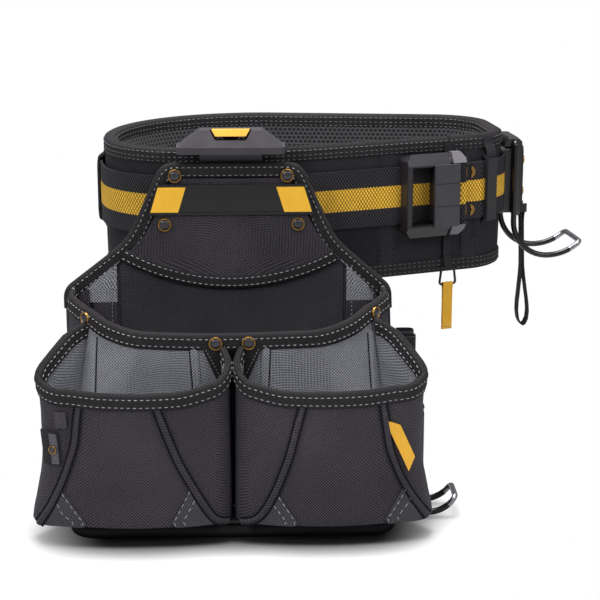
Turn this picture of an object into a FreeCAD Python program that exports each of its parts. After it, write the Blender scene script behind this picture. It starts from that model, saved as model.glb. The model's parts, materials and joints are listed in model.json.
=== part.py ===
"""Carpenter's tool belt: a padded belt with a side-release buckle, a clip-on pouch and a hammer holder.

Millimetres. The construction frame has X along the pouch's width, Y from the pouch towards the
wearer and Z up. Z is 0 at the foot of the pouch's stand, and Y is 0 at the rear face of its back panel.
Everything is written out with the centre of the waist opening, at the webbing's mid-height, as origin.

Pieces on the belt are drawn in a belt frame: x along the belt, y = 0 on the pad's outer face with
-y outwards, and z up. place() then turns them to their station on the belt.
"""
import math
import os

import FreeCAD, Part

V = FreeCAD.Vector

# ---------------------------------------------------------------- driving dimensions
# belt
WAIST_CENTRE = V(57, 137, 250)
BELT_CORNERS = [(-98.0, 16.5), (39.1, 21.4), (242.2, 110.0), (226.6, 230.7), (-165.0, 263.6)]
BELT_RADII = [70.0, 160.0, 50.0, 54.0, 137.0]
WEB_MID_Z = 250.0
PAD_THICK = 9.0
PAD_ABOVE = 48.0
PAD_BELOW = 73.0
PAD_GAP = 7.0
BINDING_WIDE = 12.0
BINDING_SKIN = 0.8
LINING_THICK = 1.2
WEB_WIDE = 50.8
WEB_THICK = 2.5
WEB_STANDOFF = 2.4
FIT_GAP = 0.3

# hubs and the clips that slide down over them
HUB_WIDE = 42.0
HUB_PLATE = 5.0
HUB_EDGE = 5.2
STEM_WIDE = 24.0
STEM_DEEP = 2.0
FLANGE_WIDE = 34.0
FLANGE_THICK = 2.6
TONGUE_TALL = 52.0
CLIP_PLATE = 5.0
CLIP_LIP = 1.4
LIFT_TRAVEL = 58.0

# buckle
BUCKLE_STATION = 138.5
BUCKLE_TALL = 74.0
BUCKLE_DEEP = 19.0
FRAME_LONG = 41.2
BAR_WIDE = 6.0
WINDOW_LONG = 22.0
COVER_LONG = 25.0
COVER_THICK = 2.8
MALE_LONG = 18.0
ARM_TALL = 5.6
ARM_PRESS_DEG = 4.5
BUCKLE_TRAVEL = 40.0

# pull strap, ring and tab
STRAP_WIDE = 8.0
STRAP_THICK = 1.3
RING_WIRE = 2.2
RING_TALL = 15.0
TAB_WIDE = 9.5
TAB_LONG = 42.0

# hammer holder and hooks
HOLDER_WIDE = 42.0
HOOK_WIRE = 5.2
HOOK_TURN = 3.4
HOOK_SPACING = 50.0
HOOK_BEND = 33.0
HOOK_TIP_BEND = 45.0
HOOK_TIP_DEG = 37.0
BARE_TIP_DEG = 9.0
TETHER_WIDE = 10.0
TETHER_THICK = 1.6
TETHER_LONG = 112.0
TETHER_NECK = 62.0

# pouch
PANEL_THICK = 5.0
PANEL_TOP_Z = 289.0
PANEL_TOP_HALF = 57.0
NECK_HALF = 86.0
NECK_Z = 225.0
HUB_LINE_Y = 20.0
SHOULDER_HALF = 137.0
SHOULDER_Z = 183.0
SHOULDER_SHIFT = -3.5
FOOT_HALF = 140.0
FOOT_Z = 16.0
TAPE_WIDE = 11.0
TAPE_SKIN = 1.2
CLOTH = 3.0
MAIN_DEEP = 84.0
MAIN_LIP_Z = 165.0
MAIN_LIP_END_Y = -35.0
MAIN_LIP_END_RISE = 4.5
LOWER_FRONT = 128.0
LOWER_HALF_TOP = 147.5
LOWER_HALF_FOOT = 163.0
LOWER_SIDE_END = 30.0
LOWER_BACK_FOOT = 122.0
LOWER_BACK_TOP = 127.0
SLIT_HALF = 1.2
PIPING_HALF = 1.9
PIPING_RISE = 1.8
LIP_BAND = 12.0

# stand under the pouch
STAND_WIRE = 6.4
STAND_SLEEVE = 12.0
STAND_HALF = 127.0
STAND_REACH = 109.0
STAND_AXIS_Y = 6.0
STAND_PIN = 14.0
PIN_GAP = 0.1

# rivets
RIVET_HEAD = 10.6
RIVET_RISE = 1.6
SMALL_RIVET = 6.6

WEB_LOW = WEB_MID_Z - WEB_WIDE / 2
WEB_HIGH = WEB_MID_Z + WEB_WIDE / 2
WEB_OUT = WEB_STANDOFF + WEB_THICK
PAD_LOW = WEB_MID_Z - PAD_BELOW
PAD_HIGH = WEB_MID_Z + PAD_ABOVE
HUB_LOW = WEB_LOW - FIT_GAP - HUB_EDGE
HUB_HIGH = WEB_HIGH + FIT_GAP + HUB_EDGE
HUB_FRONT = -(WEB_OUT + FIT_GAP + HUB_PLATE)
FLANGE_BACK = HUB_FRONT - STEM_DEEP
FLANGE_FRONT = FLANGE_BACK - FLANGE_THICK
CLIP_BACK = FLANGE_FRONT - FIT_GAP
CLIP_FRONT = CLIP_BACK - CLIP_PLATE
TONGUE_LOW = HUB_LOW + 5.0
TONGUE_HIGH = TONGUE_LOW + TONGUE_TALL


# ---------------------------------------------------------------- small helpers
def box(x0, x1, y0, y1, z0, z1):
    """A box between two corners."""
    return Part.makeBox(x1 - x0, y1 - y0, z1 - z0, V(x0, y0, z0))


def rod(radius, start, end):
    """A round bar between two points."""
    along = end - start
    return Part.makeCylinder(radius, along.Length, start, along)


def prism(points, along):
    """A straight-sided solid: a closed outline pushed along a vector."""
    ring = Part.makePolygon(points + points[:1])
    return Part.Face(ring).extrude(along)


def fuse(shapes):
    """Shapes joined into one, with the seams between them cleaned away."""
    whole = shapes[0]
    if len(shapes) > 1:
        whole = whole.multiFuse(shapes[1:])
    return whole.removeSplitter()


def group(shapes):
    """Separate solids kept together in one piece of the assembly."""
    return Part.makeCompound(shapes)


def rounded(shape, radius, pick):
    """Fillets the edges that pick chooses."""
    return shape.makeFillet(radius, [e for e in shape.Edges if pick(e)])


def along_axis(edge, axis):
    """True for a straight edge that runs along the axis 0, 1 or 2."""
    if edge.Curve.TypeId != "Part::GeomLine":
        return False
    way = edge.Curve.Direction
    return abs([way.x, way.y, way.z][axis]) > 0.999


def rounded_outline(corners, radii):
    """A closed outline in the XY plane with each corner rounded to its own radius."""
    starts, mids, ends = [], [], []
    for i, corner in enumerate(corners):
        before = (corners[i - 1] - corner).normalize()
        after = (corners[(i + 1) % len(corners)] - corner).normalize()
        half = before.getAngle(after) / 2
        back = radii[i] / math.tan(half)
        centre = corner + (before + after).normalize() * (radii[i] / math.sin(half))
        starts.append(corner + before * back)
        mids.append(centre + (corner - centre).normalize() * radii[i])
        ends.append(corner + after * back)
    edges = []
    for i in range(len(corners)):
        edges.append(Part.Arc(starts[i], mids[i], ends[i]).toShape())
        following = starts[(i + 1) % len(corners)]
        if (following - ends[i]).Length > 1e-6:
            edges.append(Part.makeLine(ends[i], following))
    return Part.Wire(edges)


# ---------------------------------------------------------------- the belt's plan
def belt_direction(i):
    """Direction of belt side i, in degrees from +X. Side 0 carries the pouch, side 1 the buckle."""
    a = V(*BELT_CORNERS[i], 0)
    b = V(*BELT_CORNERS[(i + 1) % len(BELT_CORNERS)], 0)
    return math.degrees(math.atan2(b.y - a.y, b.x - a.x))


def belt_outline(offset):
    """The belt's plan outline, moved outwards from the pad's outer face by offset."""
    corners = []
    for i, corner in enumerate(BELT_CORNERS):
        a = math.radians(belt_direction(i - 1))
        b = math.radians(belt_direction(i))
        normal_a = V(math.sin(a), -math.cos(a), 0)
        normal_b = V(math.sin(b), -math.cos(b), 0)
        spread = 1 + normal_a.dot(normal_b)
        corners.append(V(*corner, 0) + (normal_a + normal_b) * (offset / spread))
    return rounded_outline(corners, [r + offset for r in BELT_RADII])


def belt_ring(inner, outer, z0, z1):
    """A closed band that follows the belt between two offsets and two heights."""
    face = Part.makeFace([belt_outline(outer), belt_outline(inner)], "Part::FaceMakerBullseye")
    face.translate(V(0, 0, z0))
    return face.extrude(V(0, 0, z1 - z0))


def station(side, distance):
    """Where a piece sits: a point on a belt side, counted from that side's first corner."""
    angle = belt_direction(side)
    a = math.radians(angle)
    point = V(*BELT_CORNERS[side], 0) + V(math.cos(a), math.sin(a), 0) * distance
    return point, angle


def along_belt(where, distance):
    """The station that lies a distance further along a belt side, on the pad's real curve."""
    point, angle = where
    a = math.radians(angle)
    ahead = point + V(math.cos(a), math.sin(a), 0) * distance
    outline = belt_outline(0)
    _, pairs, details = outline.distToShape(Part.Vertex(ahead))
    edge = outline.Edges[details[0][1]] if details[0][0] == "Edge" else outline.Edges[0]
    way = edge.tangentAt(details[0][2]) if details[0][0] == "Edge" else V(math.cos(a), math.sin(a), 0)
    if way.dot(V(math.cos(a), math.sin(a), 0)) < 0:
        way = way * -1
    return pairs[0][0], math.degrees(math.atan2(way.y, way.x))


POUCH_STATION = station(0, 94.9)
BUCKLE_PLACE = station(1, BUCKLE_STATION)
HOLDER_PLACE = station(2, 50.0)
BACK_PLACE = station(3, 200.0)
LEFT_PLACE = station(4, 150.0)
LABEL_PLACE = along_belt(BUCKLE_PLACE, 62.0)


def place(shape, where):
    """Moves a piece from the belt frame to its station on the belt."""
    point, angle = where
    moved = shape.copy()
    moved.rotate(V(0, 0, 0), V(0, 0, 1), angle)
    moved.translate(point)
    return moved


def beside(where, x0, x1, y0, y1, z0, z1):
    """A box given in the belt frame of a station."""
    return place(box(x0, x1, y0, y1, z0, z1), where)


# ---------------------------------------------------------------- pad, lining and bindings
def pad_slit():
    """The gap where the pad's two ends meet, behind the buckle."""
    x = BUCKLE_PULL_X
    return beside(BUCKLE_PLACE, x - PAD_GAP / 2, x + PAD_GAP / 2, -4, 30, PAD_LOW - 5, PAD_HIGH + 5)


BUCKLE_PULL_X = 21.4


def belt_pad():
    """Foam pad in a woven cover."""
    edge = 2.0
    return belt_ring(-PAD_THICK, 0, PAD_LOW + edge, PAD_HIGH - edge).cut(pad_slit())


def pad_lining():
    """Spacer-mesh lining on the wearer's side, between the two bindings."""
    low, high = PAD_LOW + BINDING_WIDE, PAD_HIGH - BINDING_WIDE
    return belt_ring(-PAD_THICK - LINING_THICK, -PAD_THICK, low, high).cut(pad_slit())


def pad_binding(z0, z1):
    """Folded tape over an edge of the pad."""
    tape = belt_ring(-PAD_THICK - BINDING_SKIN, BINDING_SKIN, z0, z1)
    return tape.cut(belt_ring(-PAD_THICK, 0, PAD_LOW + 2, PAD_HIGH - 2)).cut(pad_slit())


def pad_end_patches():
    """Upright reinforcing strips on the pad, one on each side of the buckle."""
    low, high = PAD_LOW + BINDING_WIDE, PAD_HIGH - BINDING_WIDE
    skin = belt_ring(0, BINDING_SKIN, low, high)
    strips = []
    for x in (-38.0, 43.0):
        strips.append(skin.common(beside(BUCKLE_PLACE, x - 8, x + 8, -20, 20, low, high)))
    return group(strips)


# ---------------------------------------------------------------- webbing and keepers
def webbing():
    """The 2 inch webbing that runs round the pad, open under the buckle."""
    band = belt_ring(WEB_STANDOFF, WEB_OUT, WEB_LOW, WEB_HIGH)
    opening = beside(BUCKLE_PLACE, 3, 27, -12, 8, WEB_LOW - 1, WEB_HIGH + 1)
    return band.cut(opening)


def webbing_fold():
    """The webbing's fixed end: turned round the bar of the buckle's male half and riveted back."""
    t = WEB_THICK
    bar0, bar1 = MALE_BAR
    near = -(WEB_OUT + FIT_GAP)
    far = near - 2 * t - BAR_DEEP - 2 * FIT_GAP
    left = bar0 - FIT_GAP - t
    right = bar1 + FIT_GAP
    outer = [V(left, near, 0), V(left, far, 0), V(right + 2, far, 0), V(right + 9, near - t, 0),
             V(right + 12, near - t, 0), V(right + 12, near, 0)]
    loop = prism(outer, V(0, 0, WEB_WIDE))
    hole = [V(left + t, near - t, 0), V(left + t, far + t, 0), V(right + 1, far + t, 0),
            V(right + 4.5, near - t, 0)]
    loop = loop.cut(prism(hole, V(0, 0, WEB_WIDE)))
    loop.translate(V(0, 0, WEB_LOW))
    tail = belt_ring(-near, -near + t, WEB_LOW, WEB_HIGH)
    tail = tail.common(beside(BUCKLE_PLACE, right + 10, right + 20, -30, 30, WEB_LOW, WEB_HIGH))
    return fuse([place(loop, BUCKLE_PLACE), tail])


def eyelet(z, face_y):
    """A brass eyelet: a flanged ring pressed on the cloth."""
    ring = Part.makeCylinder(RIVET_HEAD / 2, RIVET_RISE, V(0, face_y, z), V(0, -1, 0))
    return ring.cut(Part.makeCylinder(2.2, RIVET_RISE + 2, V(0, face_y + 1, z), V(0, -1, 0)))


def anchor_eyelets():
    """Two brass eyelets through the folded end, above and below the stripe."""
    surface = WEB_OUT + FIT_GAP + WEB_THICK
    where = along_belt(BUCKLE_PLACE, EYELET_X)
    band = belt_ring(surface - 1, surface + 5, WEB_LOW, WEB_HIGH)
    eyes = [place(eyelet(WEB_MID_Z + z, 1 - surface), where) for z in (17, -17)]
    return group([eye.common(band).cut(webbing_fold()) for eye in eyes])


def keeper(where, half, reach):
    """A sewn loop that holds the webbing to the pad at a station."""
    low, high = WEB_LOW - 1, WEB_HIGH + 1
    front = belt_ring(WEB_OUT + FIT_GAP, WEB_OUT + FIT_GAP + reach, low - 3, high + 3)
    legs = belt_ring(0, WEB_OUT + FIT_GAP + reach, high, high + 3)
    legs = legs.fuse(belt_ring(0, WEB_OUT + FIT_GAP + reach, low - 3, low))
    loop = front.fuse(legs)
    return loop.common(beside(where, -half, half, -40, 40, low - 4, high + 4)).removeSplitter()


def belt_keepers():
    """Three sewn keepers on the back of the belt."""
    point, angle = BACK_PLACE
    a = math.radians(angle)
    step = V(math.cos(a), math.sin(a), 0) * 90
    return group([keeper((point + step * k, angle), 10.0, 2.4) for k in (-1, 0, 1)])


def left_keeper():
    """A broad stiffened keeper at the left end of the belt."""
    return keeper(LEFT_PLACE, 17.0, 2.6)


def label_keeper():
    """A keeper to the right of the buckle that comes down from the pad's rim."""
    loop = keeper(LABEL_PLACE, 7.0, 2.0)
    strap = belt_ring(WEB_OUT + FIT_GAP, WEB_OUT + FIT_GAP + 2.0, WEB_HIGH + 3, PAD_HIGH - 8)
    strap = strap.common(beside(LABEL_PLACE, -5, 5, -40, 40, WEB_HIGH, PAD_HIGH))
    foot = belt_ring(BINDING_SKIN, WEB_OUT + FIT_GAP + 2.0, PAD_HIGH - 11, PAD_HIGH - 8)
    foot = foot.common(beside(LABEL_PLACE, -5, 5, -40, 40, WEB_HIGH, PAD_HIGH))
    return fuse([loop, strap, foot])


def keeper_label():
    """A bare moulded rubber patch on the label keeper."""
    inner = WEB_OUT + FIT_GAP + 2.0
    patch = belt_ring(inner, inner + 1.6, WEB_LOW - 3, WEB_HIGH + 2)
    return patch.common(beside(LABEL_PLACE, -6, 6, -40, 40, WEB_LOW - 3, WEB_HIGH + 2))


# ---------------------------------------------------------------- hubs
def hub(where):
    """A moulded hub: a flat loop round the webbing with a T-shaped tongue that a clip slides over."""
    half = HUB_WIDE / 2
    body = box(-half, half, HUB_FRONT, -0.2, HUB_LOW, HUB_HIGH)
    body = rounded(body, 4.0, lambda e: along_axis(e, 1))
    stem_half, flange_half = STEM_WIDE / 2, FLANGE_WIDE / 2
    stem = box(-stem_half, stem_half, FLANGE_BACK, HUB_FRONT, TONGUE_LOW, TONGUE_HIGH)
    lead = 6.0
    flange = prism([V(-flange_half, 0, TONGUE_LOW), V(flange_half, 0, TONGUE_LOW),
                    V(flange_half, 0, TONGUE_HIGH - lead), V(flange_half - 3, 0, TONGUE_HIGH),
                    V(3 - flange_half, 0, TONGUE_HIGH), V(-flange_half, 0, TONGUE_HIGH - lead)],
                   V(0, FLANGE_THICK, 0))
    flange.translate(V(0, FLANGE_FRONT, 0))
    whole = place(fuse([body, stem, flange]), where)
    channel = belt_ring(WEB_STANDOFF - 0.2, WEB_OUT + FIT_GAP, WEB_LOW - FIT_GAP, WEB_HIGH + FIT_GAP)
    pad_room = belt_ring(-PAD_THICK, 0.1, PAD_LOW, PAD_HIGH)
    return whole.cut(channel).cut(pad_room)


def clip_rails(low, high):
    """The pair of rails on a clip's rear face that close round a hub's tongue."""
    rails = []
    grip = FLANGE_WIDE / 2 + 0.4
    outer = HUB_WIDE / 2
    for side in (-1, 1):
        x0, x1 = sorted((side * grip, side * outer))
        rails.append(box(x0, x1, CLIP_BACK, HUB_FRONT - 0.4, low, high))
        x0, x1 = sorted((side * (STEM_WIDE / 2 + 0.6), side * grip))
        rails.append(box(x0, x1, HUB_FRONT - 0.4 - CLIP_LIP, HUB_FRONT - 0.4, low, high))
    rails.append(box(-outer, outer, CLIP_BACK, HUB_FRONT - 0.4, TONGUE_HIGH + FIT_GAP, TONGUE_HIGH + 4))
    return rails


# ---------------------------------------------------------------- buckle
# x in the buckle's frame: the frame half spans FRAME_X, the cover COVER_X, the male half MALE_X
FRAME_X = (-27.2, -27.2 + FRAME_LONG)
COVER_X = (-2.4, -2.4 + COVER_LONG)
MALE_X = (16.0, 16.0 + MALE_LONG)
BAR_DEEP = 4.2
MALE_BAR = (MALE_X[1] - 6.6, MALE_X[1] - 2.0)
EYELET_X = 39.5
BUCKLE_BACK = -1.1
BUCKLE_FRONT = BUCKLE_BACK - BUCKLE_DEEP
ARM_MID = WEB_HIGH + 2.0 + ARM_TALL / 2
ARM_TIP_X = -6.0
ARM_Y = (-13.5, -6.5)
ARM_PIVOT_X = MALE_X[1] - 7.0
ARM_PIVOT_R = 2.0


def rail_profile(side):
    """Cross-section of the frame's upper or lower rail, bevelled towards the outside."""
    inner = WEB_HIGH + 0.6 - WEB_MID_Z
    outer = BUCKLE_TALL / 2
    points = [(BUCKLE_BACK, inner), (BUCKLE_FRONT + 1, inner), (BUCKLE_FRONT + 1, inner + 1.5),
              (BUCKLE_FRONT + 7, outer), (BUCKLE_BACK, outer - 4)]
    return [V(0, y, WEB_MID_Z + side * z) for y, z in points]


def buckle_frame():
    """Female half: a frame that the webbing runs through, with a socket for the male half."""
    x0, x1 = FRAME_X
    rails = []
    for side in (1, -1):
        rail = prism(rail_profile(side), V(FRAME_LONG, 0, 0))
        rail.translate(V(x0, 0, 0))
        bevel = prism([V(x0 - 1, 0, side * 3), V(x0 + 7, 0, side * 12), V(x0 - 1, 0, side * 12)],
                      V(0, -40, 0))
        bevel.translate(V(0, 5, WEB_MID_Z + side * (BUCKLE_TALL / 2 - 10)))
        rails.append(rail.cut(bevel))
    reach = WEB_WIDE / 2 + 1.5
    low, high = WEB_MID_Z - reach, WEB_MID_Z + reach
    front_bar = box(x0, x0 + BAR_WIDE, BUCKLE_FRONT + 2, -(WEB_OUT + FIT_GAP), low, high)
    front_bar = rounded(front_bar, 2.4, lambda e: along_axis(e, 2) and e.CenterOfMass.y < BUCKLE_FRONT + 3)
    housing_x = x0 + BAR_WIDE + WINDOW_LONG
    housing = box(housing_x, x1, BUCKLE_FRONT + 0.5, -(WEB_OUT + FIT_GAP), low, high)
    back_bars = [box(x, x + 7, -(WEB_STANDOFF - FIT_GAP), BUCKLE_BACK, low, high) for x in (x0, x1 - 9)]
    body = fuse(rails + [front_bar, housing] + back_bars)
    room = 0.5
    tongue_room = box(TONGUE_X[0] - 1, x1 + 1, TONGUE_Y[0] - room, TONGUE_Y[1] + room,
                      WEB_MID_Z - TONGUE_HALF - room, WEB_MID_Z + TONGUE_HALF + room)
    body = body.cut(tongue_room)
    for side in (1, -1):
        inner = side * (ARM_MID - WEB_MID_Z - ARM_TALL / 2 - 4)
        outer = side * (ARM_MID - WEB_MID_Z + ARM_TALL / 2 + room)
        z0, z1 = sorted((inner, outer))
        body = body.cut(box(ARM_TIP_X - 1.5, x1 + 1, ARM_Y[0] - room, ARM_Y[1] + room,
                            WEB_MID_Z + z0, WEB_MID_Z + z1))
    return place(body, BUCKLE_PLACE)


TONGUE_X = (3.0, MALE_X[0])
TONGUE_Y = (-15.5, -9.5)
TONGUE_HALF = 12.0


def buckle_cover():
    """Cover plate over the socket, with two shallow grooves and a bare middle."""
    x0, x1 = COVER_X
    half = BUCKLE_TALL / 2 - 9.5
    back = BUCKLE_FRONT + 0.5
    plate = box(x0, x1, back - COVER_THICK, back, WEB_MID_Z - half, WEB_MID_Z + half)
    plate = rounded(plate, 1.6, lambda e: along_axis(e, 2) and e.CenterOfMass.y < back - 1)
    for z in (11.0, -9.0):
        groove = box(x0 - 1, x1 + 1, back - COVER_THICK - 1, back - COVER_THICK + 0.6,
                     WEB_MID_Z + z - 0.4, WEB_MID_Z + z + 0.4)
        plate = plate.cut(groove)
    return place(plate, BUCKLE_PLACE)


def arm_pivot(side, radius):
    """The round root about which an arm bends."""
    z = WEB_MID_Z + side * (ARM_MID - WEB_MID_Z - ARM_TALL / 2 + ARM_PIVOT_R)
    return Part.makeCylinder(radius, ARM_Y[1] - ARM_Y[0], V(ARM_PIVOT_X, ARM_Y[0], z), V(0, 1, 0))


def buckle_male():
    """Male half: a bar for the webbing, a guide tongue and the roots of the two arms."""
    x0, x1 = MALE_X
    reach = WEB_WIDE / 2 + 0.8
    front, back = BUCKLE_FRONT + 0.9, -(WEB_OUT + FIT_GAP) - 0.4
    bar_back = -(WEB_OUT + 2 * FIT_GAP + WEB_THICK)
    bar = box(MALE_BAR[0], MALE_BAR[1], bar_back - BAR_DEEP, bar_back, WEB_MID_Z - reach, WEB_MID_Z + reach)
    block = box(x0, MALE_BAR[0] - 2 * FIT_GAP - WEB_THICK - 0.5, front, back,
                WEB_LOW + 1, WEB_HIGH - 1)
    tongue = box(TONGUE_X[0], x0 + 1, TONGUE_Y[0], TONGUE_Y[1],
                 WEB_MID_Z - TONGUE_HALF, WEB_MID_Z + TONGUE_HALF)
    tongue = rounded(tongue, 2.0, lambda e: along_axis(e, 1) and e.CenterOfMass.x < x0)
    roots = []
    for side in (1, -1):
        z0, z1 = sorted((side * (WEB_WIDE / 2 - 1), side * reach))
        roots.append(box(x0, x1, -16.0, back, WEB_MID_Z + z0, WEB_MID_Z + z1))
        z0, z1 = sorted((side * (WEB_WIDE / 2), side * (ARM_MID - WEB_MID_Z + 1)))
        roots.append(box(ARM_PIVOT_X + 0.3, x1, ARM_Y[0], ARM_Y[1], WEB_MID_Z + z0, WEB_MID_Z + z1))
    body = fuse([bar, block, tongue] + roots)
    for side in (1, -1):
        body = body.cut(arm_pivot(side, ARM_PIVOT_R + PIN_GAP))
    webbing_way = box(MALE_BAR[0] - FIT_GAP - WEB_THICK - 0.2, x1 + 1, -20, back + 1, WEB_LOW - 0.3,
                      WEB_HIGH + 0.3)
    keep = box(MALE_BAR[0], MALE_BAR[1], bar_back - BAR_DEEP, bar_back, WEB_LOW - 1, WEB_HIGH + 1)
    return place(body.cut(webbing_way.cut(keep)), BUCKLE_PLACE)


def buckle_arm(side):
    """A spring arm of the male half: a bevelled finger pad outside, a barbed tip in the socket."""
    mid = side * (ARM_MID - WEB_MID_Z)
    half = ARM_TALL / 2
    x1 = ARM_PIVOT_X
    outer = mid - side * (half - 2 * ARM_PIVOT_R)
    neck = [V(ARM_TIP_X, 0, mid - side * 1.5), V(ARM_TIP_X + 5, 0, mid + side * half),
            V(ARM_TIP_X + 8, 0, mid + side * half), V(ARM_TIP_X + 8, 0, outer), V(x1, 0, outer),
            V(x1, 0, mid - side * half), V(ARM_TIP_X, 0, mid - side * half)]
    arm = prism(neck, V(0, ARM_Y[1] - ARM_Y[0], 0))
    arm.translate(V(0, ARM_Y[0], WEB_MID_Z))
    top = BUCKLE_TALL / 2
    end = MALE_X[1] - 3.0
    pad = prism([V(0, -17.0, side * (WEB_WIDE / 2 + 2.2)), V(0, -12.5, side * top), V(0, -7.5, side * top),
                 V(0, -5.0, side * (WEB_WIDE / 2 + 2.2))], V(end - MALE_X[0] - 2, 0, 0))
    pad.translate(V(MALE_X[0] + 2, 0, WEB_MID_Z))
    slope = prism([V(end - 5, 0, side * (top + 1)), V(end + 3, 0, side * (top + 1)),
                   V(end + 3, 0, side * (top - 9))], V(0, 40, 0))
    slope.translate(V(0, -30, WEB_MID_Z))
    z0, z1 = sorted((0, side * (ARM_MID - WEB_MID_Z + 1.8)))
    root = box(x1 - 0.6, end + 1, ARM_Y[0] - 0.8, ARM_Y[1] + 0.8, WEB_MID_Z + z0, WEB_MID_Z + z1)
    return place(fuse([arm, pad.cut(slope).cut(root), arm_pivot(side, ARM_PIVOT_R)]), BUCKLE_PLACE)


# ---------------------------------------------------------------- pull strap, ring and tab
STRAP_FOOT_Z = PAD_LOW + 2.6
RING_TOP_Z = STRAP_FOOT_Z + 1.5
STRAP_Y = (-STRAP_THICK - 0.3 - BINDING_SKIN, -0.3 - BINDING_SKIN)
RING_Y = STRAP_Y[0] - 1.2


def pull_strap():
    """A narrow strap down the pad behind the buckle, with an eye for the ring at its foot."""
    half = STRAP_WIDE / 2
    x = BUCKLE_PULL_X
    strap = box(x - half, x + half, STRAP_Y[0], STRAP_Y[1], STRAP_FOOT_Z, PAD_HIGH - 4)
    eye = Part.makeCylinder(RING_WIRE / 2 + 1.5, STRAP_WIDE, V(x - half, RING_Y, RING_TOP_Z), V(1, 0, 0))
    bore = Part.makeCylinder(RING_WIRE / 2 + PIN_GAP, STRAP_WIDE + 2, V(x - half - 1, RING_Y, RING_TOP_Z),
                             V(1, 0, 0))
    return place(fuse([strap, eye]).cut(bore), BUCKLE_PLACE)


def bent_wire(points, radius, bends):
    """A round wire along straight runs joined by tangent arcs; bends gives each inner corner's radius."""
    edges = []
    last = points[0]
    for i in range(1, len(points) - 1):
        before = (points[i - 1] - points[i]).normalize()
        after = (points[i + 1] - points[i]).normalize()
        half = before.getAngle(after) / 2
        bend = bends[i - 1]
        start = points[i] + before * (bend / math.tan(half))
        end = points[i] + after * (bend / math.tan(half))
        centre = points[i] + (before + after).normalize() * (bend / math.sin(half))
        mid = centre + (points[i] - centre).normalize() * bend
        if (start - last).Length > 1e-6:
            edges.append(Part.makeLine(last, start))
        edges.append(Part.Arc(start, mid, end).toShape())
        last = end
    if (points[-1] - last).Length > 1e-6:
        edges.append(Part.makeLine(last, points[-1]))
    return swept(Part.Wire(edges), radius)


def swept(path, radius):
    """A round bar that follows a smooth wire."""
    start = path.OrderedVertexes[0].Point
    first = path.OrderedEdges[0]
    way = first.tangentAt(first.FirstParameter)
    if (first.valueAt(first.FirstParameter) - start).Length > 1e-6:
        way = first.tangentAt(first.LastParameter) * -1
    section = Part.Wire(Part.makeCircle(radius, start, way))
    return path.makePipeShell([section], True, False, 2)


def pull_ring():
    """A small triangular wire ring, wider at its foot."""
    x, top = BUCKLE_PULL_X, RING_TOP_Z
    foot = top - RING_TALL
    points = [V(x, RING_Y, top), V(x + 6.2, RING_Y, top), V(x + 8.2, RING_Y, foot),
              V(x - 8.2, RING_Y, foot), V(x - 6.2, RING_Y, top), V(x, RING_Y, top)]
    return place(bent_wire(points, RING_WIRE / 2, [1.4, 2.4, 2.4, 1.4]), BUCKLE_PLACE)


def pull_tab():
    """A ribbon folded over the ring's foot and stitched to itself."""
    x = BUCKLE_PULL_X
    bar = RING_TOP_Z - RING_TALL
    hole = RING_WIRE / 2 + PIN_GAP
    wall = 1.0
    half = TAB_WIDE / 2
    eye = Part.makeCylinder(hole + wall, TAB_WIDE, V(x - half, RING_Y, bar), V(1, 0, 0))
    tail = box(x - half, x + half, RING_Y - wall, RING_Y + wall, bar - TAB_LONG, bar)
    bore = Part.makeCylinder(hole, TAB_WIDE + 2, V(x - half - 1, RING_Y, bar), V(1, 0, 0))
    return place(fuse([eye, tail]).cut(bore), BUCKLE_PLACE)


# ---------------------------------------------------------------- hammer holder
HOLDER_TOP = HUB_HIGH + 8.6
HOLDER_PANEL = 2.4
HOLDER_LOW = HUB_LOW - 3.0
HOLDER_HALF = HOLDER_WIDE / 2
HOOK_PIVOT_Z = HUB_HIGH + 4.0
HOOK_PIVOT_Y = -13.0
HOOK_BORE = HOOK_WIRE / 2 + PIN_GAP


def rivet(x, z, face_y, head=RIVET_HEAD):
    """A domed rivet head standing on a face that looks along -y."""
    radius, rise = head / 2, RIVET_RISE * 0.65
    ball = (radius ** 2 + rise ** 2) / (2 * rise)
    face = face_y - RIVET_RISE * 0.35
    rim = Part.makeCylinder(radius, RIVET_RISE, V(x, face_y, z), V(0, -1, 0))
    dome = Part.makeSphere(ball, V(x, face + ball - rise, z), V(0, -1, 0))
    return rim.common(dome)


def holder_clip():
    """Moulded clip of the hammer holder: plate, rails, and a bevelled head bored for the hook's bar."""
    half = HOLDER_HALF
    plate = box(-half, half, CLIP_FRONT, CLIP_BACK, HOLDER_LOW, HUB_HIGH + 1)
    plate = rounded(plate, 5.0, lambda e: along_axis(e, 1) and e.CenterOfMass.z < HOLDER_LOW + 1)
    low = HUB_HIGH + 0.4
    head = prism([V(0, CLIP_FRONT, low), V(0, CLIP_FRONT, HOLDER_TOP - 4), V(0, CLIP_FRONT + 4, HOLDER_TOP),
                  V(0, -8, HOLDER_TOP), V(0, -4, HOLDER_TOP - 5), V(0, -4, low)], V(2 * half, 0, 0))
    head.translate(V(-half, 0, 0))
    for side in (-1, 1):
        slope = prism([V(side * (half + 1), 0, HOLDER_TOP - 2.2), V(side * (half + 1), 0, HOLDER_TOP + 1),
                       V(side * (half - 4), 0, HOLDER_TOP + 1)], V(0, 60, 0))
        slope.translate(V(0, -40, 0))
        head = head.cut(slope)
    rails = clip_rails(HOLDER_LOW + 4, TONGUE_HIGH + 4)
    bore = Part.makeCylinder(HOOK_BORE, 80, V(-40, HOOK_PIVOT_Y, HOOK_PIVOT_Z), V(1, 0, 0))
    return place(fuse([plate, head] + rails).cut(bore), HOLDER_PLACE)


def holder_panel():
    """Thick woven facing riveted to the outside of the holder's clip."""
    half = HOLDER_HALF - 1.5
    panel = box(-half, half, CLIP_FRONT - HOLDER_PANEL, CLIP_FRONT, HOLDER_LOW + 2, HOLDER_TOP - 7)
    panel = rounded(panel, 5.0, lambda e: along_axis(e, 1))
    return place(panel, HOLDER_PLACE)


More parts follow.
